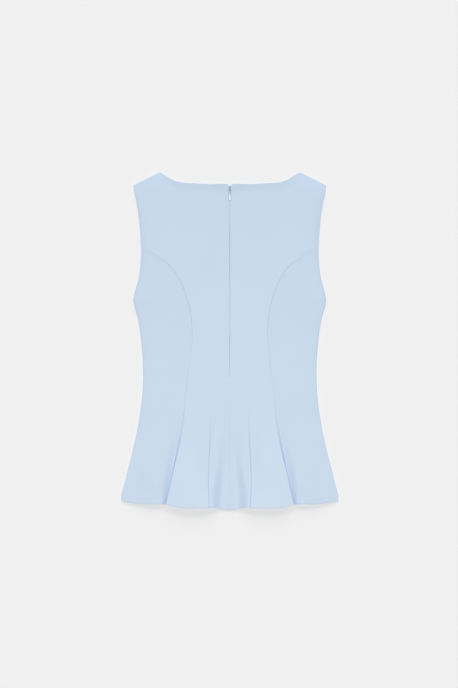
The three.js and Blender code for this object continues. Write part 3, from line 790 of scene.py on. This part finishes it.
def add_node(tree, kind, inputs=(), **settings):
    """A node with its settings. Each of the inputs, by name or number, is given its value
    or follows another node's output."""
    node = tree.nodes.new(kind)
    for key, value in settings.items():
        setattr(node, key, value)
    for key, value in dict(inputs).items():
        if isinstance(value, bpy.types.NodeSocket):
            tree.links.new(value, node.inputs[key])
        else:
            node.inputs[key].default_value = value
    return node


def calculate(tree, operation, *values):
    """A sum, a product or another operation on numbers."""
    node = add_node(tree, "ShaderNodeMath", enumerate(values), operation=operation)
    return node.outputs["Value"]


def calculate_each(tree, operation, *values):
    """The same for red, green and blue, each on its own."""
    node = add_node(tree, "ShaderNodeVectorMath", enumerate(values), operation=operation)
    return node.outputs["Vector"]


def stretch(tree, value, *ends):
    """A value taken from one range to another and kept within it: the two ends of the
    first range, then the two ends of the second."""
    named = dict(zip(("From Min", "From Max", "To Min", "To Max"), ends))
    return add_node(tree, "ShaderNodeMapRange", {"Value": value, **named}).outputs["Result"]


def two_tones(tree, dark, light, share):
    """The colour at a share of the way from the dark tone to the light one."""
    ramp = add_node(tree, "ShaderNodeValToRGB", {"Fac": share})
    ramp.color_ramp.elements[0].color = (*dark, 1)
    ramp.color_ramp.elements[1].color = (*light, 1)
    return ramp.outputs["Color"]


def add_bump(tree, shader, height, strength, distance):
    """Lets a height tilt the shader's normal; the distance is in metres."""
    bump = add_node(
        tree, "ShaderNodeBump", {"Height": height, "Strength": strength, "Distance": distance}
    )
    tree.links.new(bump.outputs["Normal"], shader.inputs["Normal"])


NODE_HELPERS = (add_node, calculate, calculate_each, stretch, two_tones, add_bump)
print("node helpers:", *(helper.__name__ for helper in NODE_HELPERS))

# %% [markdown]
# Double crepe is a dry, matt cloth of tightly twisted yarn. Close up it is a fine pebble
# with a faint rib, and over a hand's width its tone drifts a little. Two layers of noise
# on the cloth's own map give the pebble and the rib, as a bump only. A slow noise shifts
# the colour by one or two parts in a hundred, and the back also becomes a shade lighter
# from the shoulders to the hem, as it does in the photograph. The colour also holds
# painted light and shade: raised cloth is painted lighter, and sloping cloth darker.

# %% Material of the cloth
CREPE_LIGHT = (0.605, 0.715, 0.846)
CREPE_DARK = (0.557, 0.672, 0.816)
PEBBLE = 0.0007  # size of the grain in metres
RIB_SQUEEZE = 0.18  # the rib is this much longer than it is wide
# Painted shade: how much darker sloping cloth is painted
PAINTED_SLOPE_SHADE = 1.1
LEAST_UPWARD = 0.86  # steeper cloth gets no darker
PAINTED_SLOPE_TINT = (1.1, 0.95, 0.3)  # painted shade on a slope takes more red than blue
NECK_SHADE_TINT = (1.05, 0.93, 1.15)  # the painted shade below the neckline is a little greyer
# Each mix runs from one place to another, in metres or as noise, and from one share
# of the light tone to another
DOWN_MIX = (0.33, -0.05, -0.04, 0.6)
# Painted light: higher cloth is painted lighter, lower cloth darker
PAINTED_HEIGHT_LIGHT_MIX = (0.007, 0.0115, 0, 0.4)
DRIFT_MIX = (0, 1, -0.22, 0.22)
DRIFT_SCALE = 14.0


def crepe_material(name, light, dark):
    """Crepe: the length down to the waist, the height of the flutes and a slow noise mix two
    tones, the height as painted light that makes raised cloth lighter. They are multiplied by
    1 - s · PAINTED_SLOPE_TINT - f · NECK_SHADE_TINT for red, green and blue, both painted
    shade, with s = PAINTED_SLOPE_SHADE · (1 - |n|), n being the upward part of the cloth's
    normal and never less than LEAST_UPWARD, and f the attribute "neck_shade", which is 0 away
    from the neckline. A pebble and a rib noise drive the bump."""
    material, tree, shader = new_material(name, {
        "Roughness": 0.9, "Specular IOR Level": 0.2, "Sheen Weight": 0.02,
        "Sheen Roughness": 0.5,
    })
    where = add_node(tree, "ShaderNodeTexCoord").outputs
    drift = add_node(
        tree, "ShaderNodeTexNoise",
        {"Vector": where["Object"], "Scale": DRIFT_SCALE, "Detail": 3.0, "Roughness": 0.55},
    )
    place = add_node(tree, "ShaderNodeSeparateXYZ", {"Vector": where["Object"]}).outputs
    slow = stretch(tree, drift.outputs["Fac"], *DRIFT_MIX)
    lengthways = stretch(tree, place["Y"], *DOWN_MIX)
    # painted light from the cloth's height above the table
    raised = stretch(tree, place["Z"], *PAINTED_HEIGHT_LIGHT_MIX)
    share = calculate(tree, "ADD", slow, calculate(tree, "ADD", raised, lengthways))
    tones = two_tones(tree, dark, light, share)

    # Painted shade: sloping cloth is painted darker, more in red than in blue
    normal = add_node(tree, "ShaderNodeSeparateXYZ", {"Vector": where["Normal"]}).outputs
    upward = calculate(tree, "ABSOLUTE", normal["Z"])
    slope = stretch(tree, upward, LEAST_UPWARD, 1, (1 - LEAST_UPWARD) * PAINTED_SLOPE_SHADE, 0)
    # painted shade below the neckline, read from each point
    neck_shade = add_node(tree, "ShaderNodeAttribute", attribute_name="neck_shade").outputs["Fac"]
    shades = [
        calculate_each(tree, "MULTIPLY", tint, amount)
        for tint, amount in ((PAINTED_SLOPE_TINT, slope), (NECK_SHADE_TINT, neck_shade))
    ]
    left = calculate_each(tree, "SUBTRACT", (1, 1, 1), calculate_each(tree, "ADD", *shades))
    shaded = calculate_each(tree, "MULTIPLY", left, tones)
    tree.links.new(shaded, shader.inputs["Base Color"])

    grain = add_node(
        tree, "ShaderNodeTexNoise", {"Vector": where["UV"], "Scale": 1 / PEBBLE, "Detail": 2.0}
    )
    squeeze = add_node(
        tree, "ShaderNodeMapping", {"Vector": where["UV"], "Scale": (1.0, RIB_SQUEEZE, 1.0)}
    )
    rib = add_node(
        tree, "ShaderNodeTexNoise",
        {"Vector": squeeze.outputs["Vector"], "Scale": 0.6 / PEBBLE, "Detail": 1.0},
    )
    height = calculate(tree, "ADD", grain.outputs["Fac"], rib.outputs["Fac"])
    add_bump(tree, shader, height, 0.8, 0.0002)
    return material


SIDE_SHADE_SHARE = 0.984  # painted shade: the side panels are painted this share of the crepe's tones
crepe = crepe_material("crepe", CREPE_LIGHT, CREPE_DARK)
# Painted shade: a darker copy of the crepe for the side panels
side_shaded_tones = SIDE_SHADE_SHARE * np.array([CREPE_LIGHT, CREPE_DARK])
side_shaded_crepe = crepe_material("crepe_side_shaded", *side_shaded_tones.tolist())
print("cloth materials made:", crepe.name, side_shaded_crepe.name)

# %% [markdown]
# Every panel takes the place of its CAD solid, which stays for collision. It rides on the
# body of the top, and its flat cut size is printed. Each point also keeps a number for the
# material to read: a band of painted shade just below the neckline.

# %% What a panel says about itself
# Painted shade: a darker, greyer band just below the neckline
NECK_SHADE_TONE = 0.055
NECK_SHADE_DEPTH = 7.0  # where the painted shade is darkest, below the neckline
NECK_SHADE_SPREAD = 9.0
NECK_SHADE_END = {"from": 105.0, "over": 35.0}  # the band fades out towards the shoulders


def finish_panel(made, node, flat, area, cloth=crepe):
    """Gives a panel its material, hides the CAD solid that it replaces, puts it on the body of
    the top and prints its cut size and area.
    """
    made.data.materials.append(cloth)
    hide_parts(node)
    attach(made, "top")
    print(node, "cut size in metres", np.round(flat, 4), "area", round(area, 4))


def places_of(made):
    """Each point's x and y in millimetres."""
    place = np.empty(3 * len(made.data.vertices), np.float32)
    made.data.vertices.foreach_get("co", place)
    return place.reshape(-1, 3).T[:2] / MM


def store(made, name, values):
    """Keeps one number for each point, which a material can read by its name."""
    attribute = made.data.attributes.new(name, "FLOAT", "POINT")
    attribute.data.foreach_set("value", values.astype(np.float32))


def mark_neck_shade(made):
    """Stores NECK_SHADE_TONE · exp(-((d - NECK_SHADE_DEPTH) / NECK_SHADE_SPREAD)²) at each
    point,
    d being its distance below the neckline: a band of painted shade."""
    x, y = places_of(made)
    d = LENGTH / 2 - y - top_down(np.abs(x))
    fade = 1 - ease((np.abs(x) - NECK_SHADE_END["from"]) / NECK_SHADE_END["over"])
    band = NECK_SHADE_TONE * np.exp(-(((d - NECK_SHADE_DEPTH) / NECK_SHADE_SPREAD) ** 2)) * fade
    store(made, "neck_shade", band)


def cut_size(grid):
    """A panel's flat width and length and its area, in metres, measured along the cloth:
    the longest row, the longest column and the sum of its small parallelograms."""
    across, along = lengths_along(grid, 1)[:, -1].max(), lengths_along(grid, 0)[-1].max()
    small = np.cross(np.diff(grid, axis=0)[:, :-1], np.diff(grid, axis=1)[:-1])
    return (across * MM, along * MM), np.linalg.norm(small, axis=-1).sum() * MM**2


print("cut size of a side back in metres:", np.round(cut_size(side_grid(1))[0], 4))

# %% [markdown]
# Now the four back panels. The right and the left use the same tables, but the creases
# and waves are read at the true place, so the two halves are not mirror images. Along
# the princess seam a table sets how much the seam shows: clearly on the curve, hardly
# at all at the waist, where it was pressed flat, and again in the fold.

# %% Back panels
EDGE_BULGE = 0.3
SEAM = table(
    "down bulge half_gap",
    (150.5, 0.01, 0.004), (156, 0.04, 0.01), (170, 0.07, 0.02), (195, 0.14, 0.03),
    (290, 0.14, 0.03), (310, 0.06, 0.015), (335, 0.01, 0.004), (440, 0.01, 0.004),
    (465, 0.1, 0.02), (510, 0.2, 0.03), (560, 0.3, 0.03), (655, 0.3, 0.03),
)


def centre_back(side, name):
    """One centre back panel, its bulges read at the height of each row's own edge."""
    grid = centre_grid(side)
    flat, area = cut_size(grid)
    seam_down = LENGTH / 2 - grid[:, 0, 1]
    on_seam = seam_down > SEAM_TOP - 0.01
    first = np.where(on_seam, read(SEAM, "down", "bulge", seam_down), EDGE_BULGE)
    middle_down = LENGTH / 2 - grid[:, -1, 1]
    last = read(CENTRE_GAP, "down", "bulge", middle_down)
    draw_in(grid, 1, False, read(SEAM, "down", "half_gap", seam_down) * on_seam)
    made = shell(name, grid, CLOTH, EDGE_BULGE, EDGE_BULGE, first, last)
    mark_neck_shade(made)
    finish_panel(made, name, flat, area)


def side_back(side, name):
    """One side back panel, its bulges read at the height of each row's end on the seam."""
    grid = side_grid(side)
    flat, area = cut_size(grid)
    seam_down = LENGTH / 2 - grid[:, 0, 1]
    first = read(SEAM, "down", "bulge", seam_down)
    draw_in(grid, 1, False, read(SEAM, "down", "half_gap", seam_down))
    made = shell(name, grid, CLOTH, 0.0, EDGE_BULGE, first, EDGE_BULGE)
    finish_panel(made, name, flat, area, side_shaded_crepe)


centre_back(1, "back_centre_right")
centre_back(-1, "back_centre_left")
side_back(1, "back_side_right")
side_back(-1, "back_side_left")

# %% [markdown]
# The front lies face down on the table and only its edge can be seen from the side. It
# is one panel with its own lower neckline and more hollow armholes. Where the back
# leaves it room it lifts off the table in a few soft creases, which show from below.

# %% Front panel
FRONT_CREASES = table(
    "x1 down1 x2 down2 width height",
    (-118, 176, -64, 326, 13, 0.45),
    (92, 150, 128, 296, 15, 0.38),
    (-22, 118, 18, 262, 18, 0.3),
    (-66, 470, -84, 606, 11, 0.55),
    (62, 486, 88, 612, 12, 0.5),
    (46, 330, 112, 392, 16, 0.34),
)
FRONT_STEP = 3.2
FRONT_COLUMNS = 120
FRONT_YOKE_ROWS = 12
FRONT_CORNER = 0.75  # the share of the columns that end on the neckline
FRONT_REACH = 3  # as ARMHOLE_REACH
SIDE_END = SIDE["down"][-1]


def front_grid():
    """Rows from the neckline and shoulders to the hem, and columns from side to side at
    shares t of the half width. The hem is a parabola."""
    t = np.linspace(-1, 1, FRONT_COLUMNS + 1)[None, :]
    off_share = np.abs(t)
    top_off = np.interp(off_share, [0, FRONT_CORNER, 1], [0, NECK_POINT, SHOULDER[0]])
    down = stations(FRONT_STEP, YOKE_DOWN, UNDERARM_DOWN, SIDE_END)[:, None]
    at_side = read(SIDE, "down", "half", down)
    body_x = np.where(down < UNDERARM_DOWN, front_armhole_half(down), at_side) * t
    top = front_neck_down(np.minimum(top_off, NECK_POINT))
    top = np.where(top_off > NECK_POINT, top_down(top_off), top)
    up = np.linspace(1, 0, FRONT_YOKE_ROWS, endpoint=False)[:, None]
    yoke_down = YOKE_DOWN + (top - YOKE_DOWN) * up
    yoke_x = body_x[:1] + (np.sign(t) * top_off - body_x[:1]) * up
    edge_down = YOKE_DOWN + (SHOULDER[1] - YOKE_DOWN) * up
    move = front_armhole_half(edge_down) - np.abs(yoke_x[:, :1])
    yoke_x = yoke_x + move * np.sign(t) * off_share**FRONT_REACH
    share = np.clip((down - HEM_BLEND) / (SIDE_END - HEM_BLEND), 0, 1)
    low = down + share * (LENGTH - FRONT_HEM_RISE - SIDE_END) * (1 - t**2)
    x = np.vstack([yoke_x, body_x])
    rows = np.vstack([yoke_down, low + 0 * body_x])
    return points(1, x, rows, CLOTH / 2 + creases(FRONT_CREASES, x, rows))


front_points = front_grid()
front_flat, front_area = cut_size(front_points)
front = shell("front_panel", front_points, CLOTH, *[EDGE_BULGE] * 4)
finish_panel(front, "front", front_flat, front_area)

# %% [markdown]
# The parts of the zip are small closed solids. Each is a row of rings of points, either
# joined end to end or closed by a point at each end. A circle becomes a rounded oblong
# when its cosine and sine are raised to a power below 1.

# %% Small solids


def rings_mesh(rings, caps):
    """Vertices and faces from rings of points. With caps, the rings run from one end to
    the other and a point closes each end; without, the last ring joins the first."""
    count, around = rings.shape[:2]
    index = np.arange(count * around).reshape(count, around)
    steps = index if caps else np.vstack([index, index[:1]])
    turn = np.roll(steps, -1, axis=1)
    faces = np.stack([steps[:-1], steps[1:], turn[1:], turn[:-1]], -1).reshape(-1, 4).tolist()
    places = rings.reshape(-1, 3)
    if caps:
        places = np.vstack([places, rings[0].mean(axis=0), rings[-1].mean(axis=0)])
        first, last = count * around, count * around + 1
        faces += np.stack([0 * index[0] + first, index[0], np.roll(index[0], -1)], -1).tolist()
        faces += np.stack([0 * index[0] + last, np.roll(index[-1], -1), index[-1]], -1).tolist()
    return places, faces


def small_solid(name, parts, origin=(0, 0, 0)):
    """One smooth object from several closed parts, given in millimetres from an origin in
    metres. Normals are turned outwards for each part by the sign of its volume."""
    places, faces, start = [], [], 0
    for part_places, part_faces in parts:
        corners = [part_places[[face[k] for face in part_faces]] for k in range(3)]
        fourth = part_places[[face[-1] for face in part_faces]]
        volume = np.einsum("ij,ij->", corners[0], np.cross(corners[1], corners[2]))
        volume += np.einsum("ij,ij->", corners[0], np.cross(corners[2], fourth))
        order = 1 if volume > 0 else -1
        faces += [[start + i for i in face[::order]] for face in part_faces]
        places.append(part_places)
        start += len(part_places)
    mesh = bpy.data.meshes.new(name)
    mesh.from_pydata((np.vstack(places) * MM + np.array(origin)).tolist(), [], faces)
    mesh.update()
    mesh.shade_smooth()
    made = bpy.data.objects.new(name, mesh)
    scene.collection.objects.link(made)
    print(name, "has", sum(len(face) - 2 for face in faces), "triangles")
    return made


def signed_power(value, power):
    """A power of the value's size, with the value's sign: below 1 it squares a circle."""
    return np.sign(value) * np.abs(value) ** power


corner = float(signed_power(np.sqrt(0.5), 0.5))
print("a circle's corner at 0.707 of its radius moves out to", round(corner, 3))

# %% [markdown]
# The zip lies under the closed edges, wrong side up as in every invisible zip. Its two
# woven tapes are sewn to the allowances of the centre backs. Their inner edges meet in
# the middle, and spread at the top to let the slider through.

# %% Zip tapes
TAPE = table("down inner", (25, 4.2), (38, 3.7), (45, 0.25), (412, 0.25))
TAPE_OUTER, TAPE_Z, TAPE_THICK = 13.0, 3.45, 0.5
TAPE_STEP = 3.0
TAPE_WAVE = {"height": 0.06, "length": 19.0}  # a tape is never quite flat


def tape_half(side):
    """A tape from its top to its end, as rings round its section: a strip with rounded
    edges, x = middle + half width · cos^0.3 a and z = middle + half thickness · sin^0.6 a,
    each power keeping its sign, for a once round."""
    down = stations(TAPE_STEP, *TAPE["down"])
    inner = read(TAPE, "down", "inner", down)[:, None]
    a = np.linspace(0, 2 * np.pi, 24, endpoint=False)[None, :]
    x = (inner + TAPE_OUTER) / 2 + (TAPE_OUTER - inner) / 2 * signed_power(np.cos(a), 0.3)
    wave = TAPE_WAVE["height"] * np.sin(down[:, None] / TAPE_WAVE["length"] + side)
    z = TAPE_Z + wave + TAPE_THICK / 2 * signed_power(np.sin(a), 0.6)
    return rings_mesh(points(side, x, down[:, None] + 0 * x, z), caps=True)


tape = small_solid("zip_tapes", [tape_half(1), tape_half(-1)])

# %% [markdown]
# A coil of nylon wire is sewn to each tape, and the two hook into each other from the
# slider down to an end stop. Each coil is a tube round a flattened helix, and the end
# stop is a rounded block.

# %% Zip coil
COIL = {"from": 42.0, "to": 399.0, "pitch": 1.3, "centre": 0.75, "z": 2.5}
COIL_HALF = (1.05, 0.6)
WIRE = 0.2
END_STOP = {"half_x": 2.4, "half_y": 1.9, "z_low": 1.75, "z_high": 3.25, "down": 401.5}


def coil_half(side):
    """A tube of radius WIRE round the helix x = side (centre + a cos t), z = z0 + b sin t,
    which goes one pitch down in each turn. The left one starts half a turn later."""
    turns = (COIL["to"] - COIL["from"]) / COIL["pitch"]
    t = np.linspace(0, 2 * np.pi * turns, int(turns * 12))
    down = COIL["from"] + COIL["pitch"] * t / (2 * np.pi)
    t = t + (0 if side > 0 else np.pi)
    x = side * (COIL["centre"] + COIL_HALF[0] * np.cos(t))
    z = COIL["z"] + COIL_HALF[1] * np.sin(t)
    line = np.stack([x, LENGTH / 2 - down, z], -1)
    along = unit(np.gradient(line, axis=0))
    across = unit(np.cross(along, [0.0, 1.0, 0.0]))
    upright = np.cross(along, across)
    a = np.linspace(0, 2 * np.pi, 6, endpoint=False)[None, :, None]
    tube = line[:, None] + WIRE * (across[:, None] * np.cos(a) + upright[:, None] * np.sin(a))
    return rings_mesh(tube, caps=True)


def block(half_x, half_y, z_low, z_high, down, round_by=0.4, power=0.5):
    """A rounded block: rings with x = half_x cos^power and y = half_y sin^power, drawn in by
    round_by (1 - cos v) at the heights middle + half sin v, for v from -90 to 90 degrees."""
    v = np.linspace(-np.pi / 2, np.pi / 2, 11)[:, None]
    a = np.linspace(0, 2 * np.pi, 40, endpoint=False)[None, :]
    draw = round_by * (1 - np.cos(v))
    x = (half_x - draw) * signed_power(np.cos(a), power)
    y = (half_y - draw) * signed_power(np.sin(a), power)
    z = (z_low + z_high) / 2 + (z_high - z_low) / 2 * np.sin(v) + 0 * a
    return rings_mesh(np.stack([x, LENGTH / 2 - down + y, z], -1), caps=True)


end_stop = block(**END_STOP, power=0.6)
coil = small_solid("zip_coil", [coil_half(1), coil_half(-1), end_stop])

# %% [markdown]
# The tape is woven in a fine herringbone: two waves that cross at a slant, read on the
# object's own coordinates. The coil is smooth nylon, with a slow change of gloss.

# %% Materials of the zip
WEAVE_SLANT = 40.0
WEAVE_SCALE = 380.0
NYLON_SCALE = 900.0
TAPE_DARK, TAPE_LIGHT = (0.46, 0.58, 0.74), (0.52, 0.64, 0.80)
NYLON_DARK, NYLON_LIGHT = (0.47, 0.59, 0.76), (0.52, 0.64, 0.80)


def tape_material():
    """Two crossing wave patterns as a bump, and their product as a slight change of tone."""
    material, tree, shader = new_material("zip_tape_weave", {"Roughness": 0.85})
    where = add_node(tree, "ShaderNodeTexCoord").outputs
    waves_made = []
    for slant in (WEAVE_SLANT, -WEAVE_SLANT):
        turned = add_node(
            tree, "ShaderNodeMapping",
            {"Vector": where["Object"], "Rotation": (0, 0, np.radians(slant))},
        )
        wave = add_node(
            tree, "ShaderNodeTexWave",
            {"Vector": turned.outputs["Vector"], "Scale": WEAVE_SCALE, "Distortion": 0.4},
        )
        waves_made.append(wave.outputs["Fac"])
    weave = calculate(tree, "MULTIPLY", *waves_made)
    tones = two_tones(tree, TAPE_DARK, TAPE_LIGHT, weave)
    tree.links.new(tones, shader.inputs["Base Color"])
    add_bump(tree, shader, weave, 0.5, 0.00015)
    return material


def smooth_material(name, light, dark, gloss, scale, coat=0.0):
    """A smooth coat: one noise mixes two tones and sets the roughness between two values.
    The tone is multiplied by 1 - s, s being the attribute "shade", painted shade which is 0 if
    not stored."""
    material, tree, shader = new_material(name, {"Coat Weight": coat})
    where = add_node(tree, "ShaderNodeTexCoord").outputs
    mottle = add_node(
        tree, "ShaderNodeTexNoise", {"Vector": where["Object"], "Scale": scale, "Detail": 2.0}
    ).outputs["Fac"]
    tree.links.new(stretch(tree, mottle, 0, 1, *gloss), shader.inputs["Roughness"])
    shade = add_node(tree, "ShaderNodeAttribute", attribute_name="shade").outputs["Fac"]
    tones = two_tones(tree, dark, light, mottle)
    shaded = calculate_each(tree, "MULTIPLY", tones, stretch(tree, shade, 0, 1, 1, 0))
    tree.links.new(shaded, shader.inputs["Base Color"])
    return material


tape.data.materials.append(tape_material())
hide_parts("zip_tape")
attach(tape, "top")
coil.data.materials.append(
    smooth_material("zip_nylon", NYLON_LIGHT, NYLON_DARK, (0.35, 0.5), NYLON_SCALE)
)
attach(coil, "top")

# %% [markdown]
# The slider is a small cast body. A neck comes up from it through the gap between the
# edges and ends in an eye, which holds the bar of the pull tab. So it is two rounded
# blocks and a ring.

# %% Slider
HINGE = (0.0, 0.2965, 0.006)  # metres
EYE = {"hole": 0.95, "outer": 1.85, "half": 0.8}
SLIDER_BODY = {"half_x": 3.6, "half_y": 5.25, "z_low": 1.6, "z_high": 3.4, "down": 32.75}
SLIDER_NECK = {
    "half_x": EYE["half"], "half_y": 1.75, "z_low": 2.8, "z_high": 4.95, "down": 33.5,
    "round_by": 0.15,
}


def eye_ring():
    """A ring round the hinge: a rounded oblong swept round the X axis."""
    a = np.linspace(0, 2 * np.pi, 48, endpoint=False)[:, None]
    b = np.linspace(0, 2 * np.pi, 20, endpoint=False)[None, :]
    radius = (EYE["hole"] + EYE["outer"]) / 2 + (EYE["outer"] - EYE["hole"]) / 2 * np.cos(b)
    x = EYE["half"] * signed_power(np.sin(b), 0.7) + 0 * a
    y = HINGE[1] / MM + radius * np.cos(a)
    z = HINGE[2] / MM + radius * np.sin(a)
    return rings_mesh(np.stack([x, y, z], -1), caps=False)


slider_parts = [block(**SLIDER_BODY), block(**SLIDER_NECK), eye_ring()]
slider = small_solid("zip_slider_body", slider_parts)

# %% [markdown]
# The pull tab is a stamped plate with domed faces and an edge that turns down, and its
# rim is painted darker as painted shade. Its outline widens to a round end, and a window
# under the bar lets the eye through. Both parts are enamelled, the pull pale, and the
# slider in a deep blue that is painted shade for the dark gap round its neck.

# %% Pull tab
PULL_THICK = 1.0
PULL = table(
    "down half",
    (-0.7, 1.85), (1.0, 1.95), (3.2, 1.95), (6, 1.8), (12, 2.15), (19, 2.65), (22.5, 2.65),
)
HEAD, TIP = PULL["down"][[0, -1]]
HEAD_ROUND, TIP_ROUND = 0.7, 2.3
RIM_WIDTH = 1.1  # of the tab's turned-down edge
# Painted shade on the tab's rim and on its narrow part
PAINTED_RIM_SHADE = 0.62
RIM_STEEP = 1.6
NECK_TONE = 0.2  # the tab's narrow part lies in the shade of the eye
NECK_END = {"from": 6.0, "over": 8.0}
WINDOW = {"down": 1.8, "half_x": 1.1, "half_y": 1.3}
PALE_LIGHT, PALE_DARK = (0.70, 0.80, 0.93), (0.66, 0.77, 0.91)
# Painted shade: the slider's deep blue stands in for the dark gap round its neck
SLIDER_SHADE_LIGHT, SLIDER_SHADE_DARK = (0.30, 0.37, 0.47), (0.25, 0.32, 0.42)
ENAMEL_SCALE = 700.0
ENAMEL_COAT = 0.3


def pull_half_width(down):
    """The tab's half width: the table's, times a quarter circle at each end."""
    head = np.sqrt(1 - np.clip((HEAD + HEAD_ROUND - down) / HEAD_ROUND, 0, 1) ** 2)
    tip = np.sqrt(1 - np.clip((down - TIP + TIP_ROUND) / TIP_ROUND, 0, 1) ** 2)
    return read(PULL, "down", "half", down) * head * tip


def window_level(place):
    """How far out a point is from the window's middle, 1 being on the window's edge."""
    across = place[..., 0] / WINDOW["half_x"]
    return np.hypot(across, (place[..., 1] - WINDOW["down"]) / WINDOW["half_y"])


def pull_tab():
    """Rings from the window's edge over the top face to the outline and back below. At a
    point the plate is half its thickness times sqrt(1 - (|x| / w)³) times
    sqrt(1 - g⁻⁶) from its middle, w being the half width there and g the ellipse of the
    window, which is 1 on its edge."""
    turn = np.linspace(0, np.pi, 61)
    down = (HEAD + TIP) / 2 - (TIP - HEAD) / 2 * np.cos(turn)
    right = np.stack([pull_half_width(down), down], -1)
    left = right[-2:0:-1] * [-1, 1]
    outline = np.vstack([right, left])
    away = outline - [0, WINDOW["down"]]
    window = [0, WINDOW["down"]] + away / window_level(outline)[:, None]
    share = (1 - np.cos(np.linspace(0, np.pi, 25)))[None, :, None] / 2
    face = window[:, None] + (outline - window)[:, None] * share
    width = np.maximum(pull_half_width(face[..., 1]), 1e-6)
    inside = np.clip(1 - (np.abs(face[..., 0]) / width) ** 3, 0, 1)
    inside = inside * np.clip(1 - window_level(face) ** -6.0, 0, 1)
    z = PULL_THICK / 2 * np.sqrt(inside)
    z[:, [0, -1]] = 0
    upper = np.stack([face[..., 0], -face[..., 1], z], -1)
    lower = upper[:, -2:0:-1] * [1, 1, -1]
    return rings_mesh(np.concatenate([upper, lower], axis=1), caps=False)


def mark_shade(made):
    """Stores PAINTED_RIM_SHADE · r + NECK_TONE · n at each point of the tab as painted shade: r
    is a smooth step of RIM_STEEP · (1 - d / RIM_WIDTH), d being the distance to its outline,
    and n one that falls from the eye to the wide end."""
    x, y = places_of(made)
    down = HINGE[1] / MM - y
    to_outline = np.minimum(pull_half_width(down) - np.abs(x), TIP - down)
    rim = ease(RIM_STEEP * (1 - to_outline / RIM_WIDTH))
    neck = 1 - ease((down - NECK_END["from"]) / NECK_END["over"])
    store(made, "shade", PAINTED_RIM_SHADE * rim + NECK_TONE * neck)


pale_enamel = smooth_material(
    "pull_enamel", PALE_LIGHT, PALE_DARK, (0.28, 0.42), ENAMEL_SCALE, ENAMEL_COAT
)
# the slider's enamel is painted dark as shade
slider_shade_enamel = smooth_material(
    "slider_enamel_painted_shade", SLIDER_SHADE_LIGHT, SLIDER_SHADE_DARK, (0.3, 0.45), ENAMEL_SCALE, ENAMEL_COAT
)
pull = small_solid("zip_pull_tab", [pull_tab()], HINGE)
mark_shade(pull)
for made, node, body, enamel in (
    (slider, "zip_slider", "top", slider_shade_enamel),
    (pull, "zip_pull", "pull", pale_enamel),
):
    made.data.materials.append(enamel)
    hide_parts(node)
    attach(made, body)

# %% [markdown]
# The last step brings the scene up to date.

# %% Finish
bpy.context.view_layer.update()
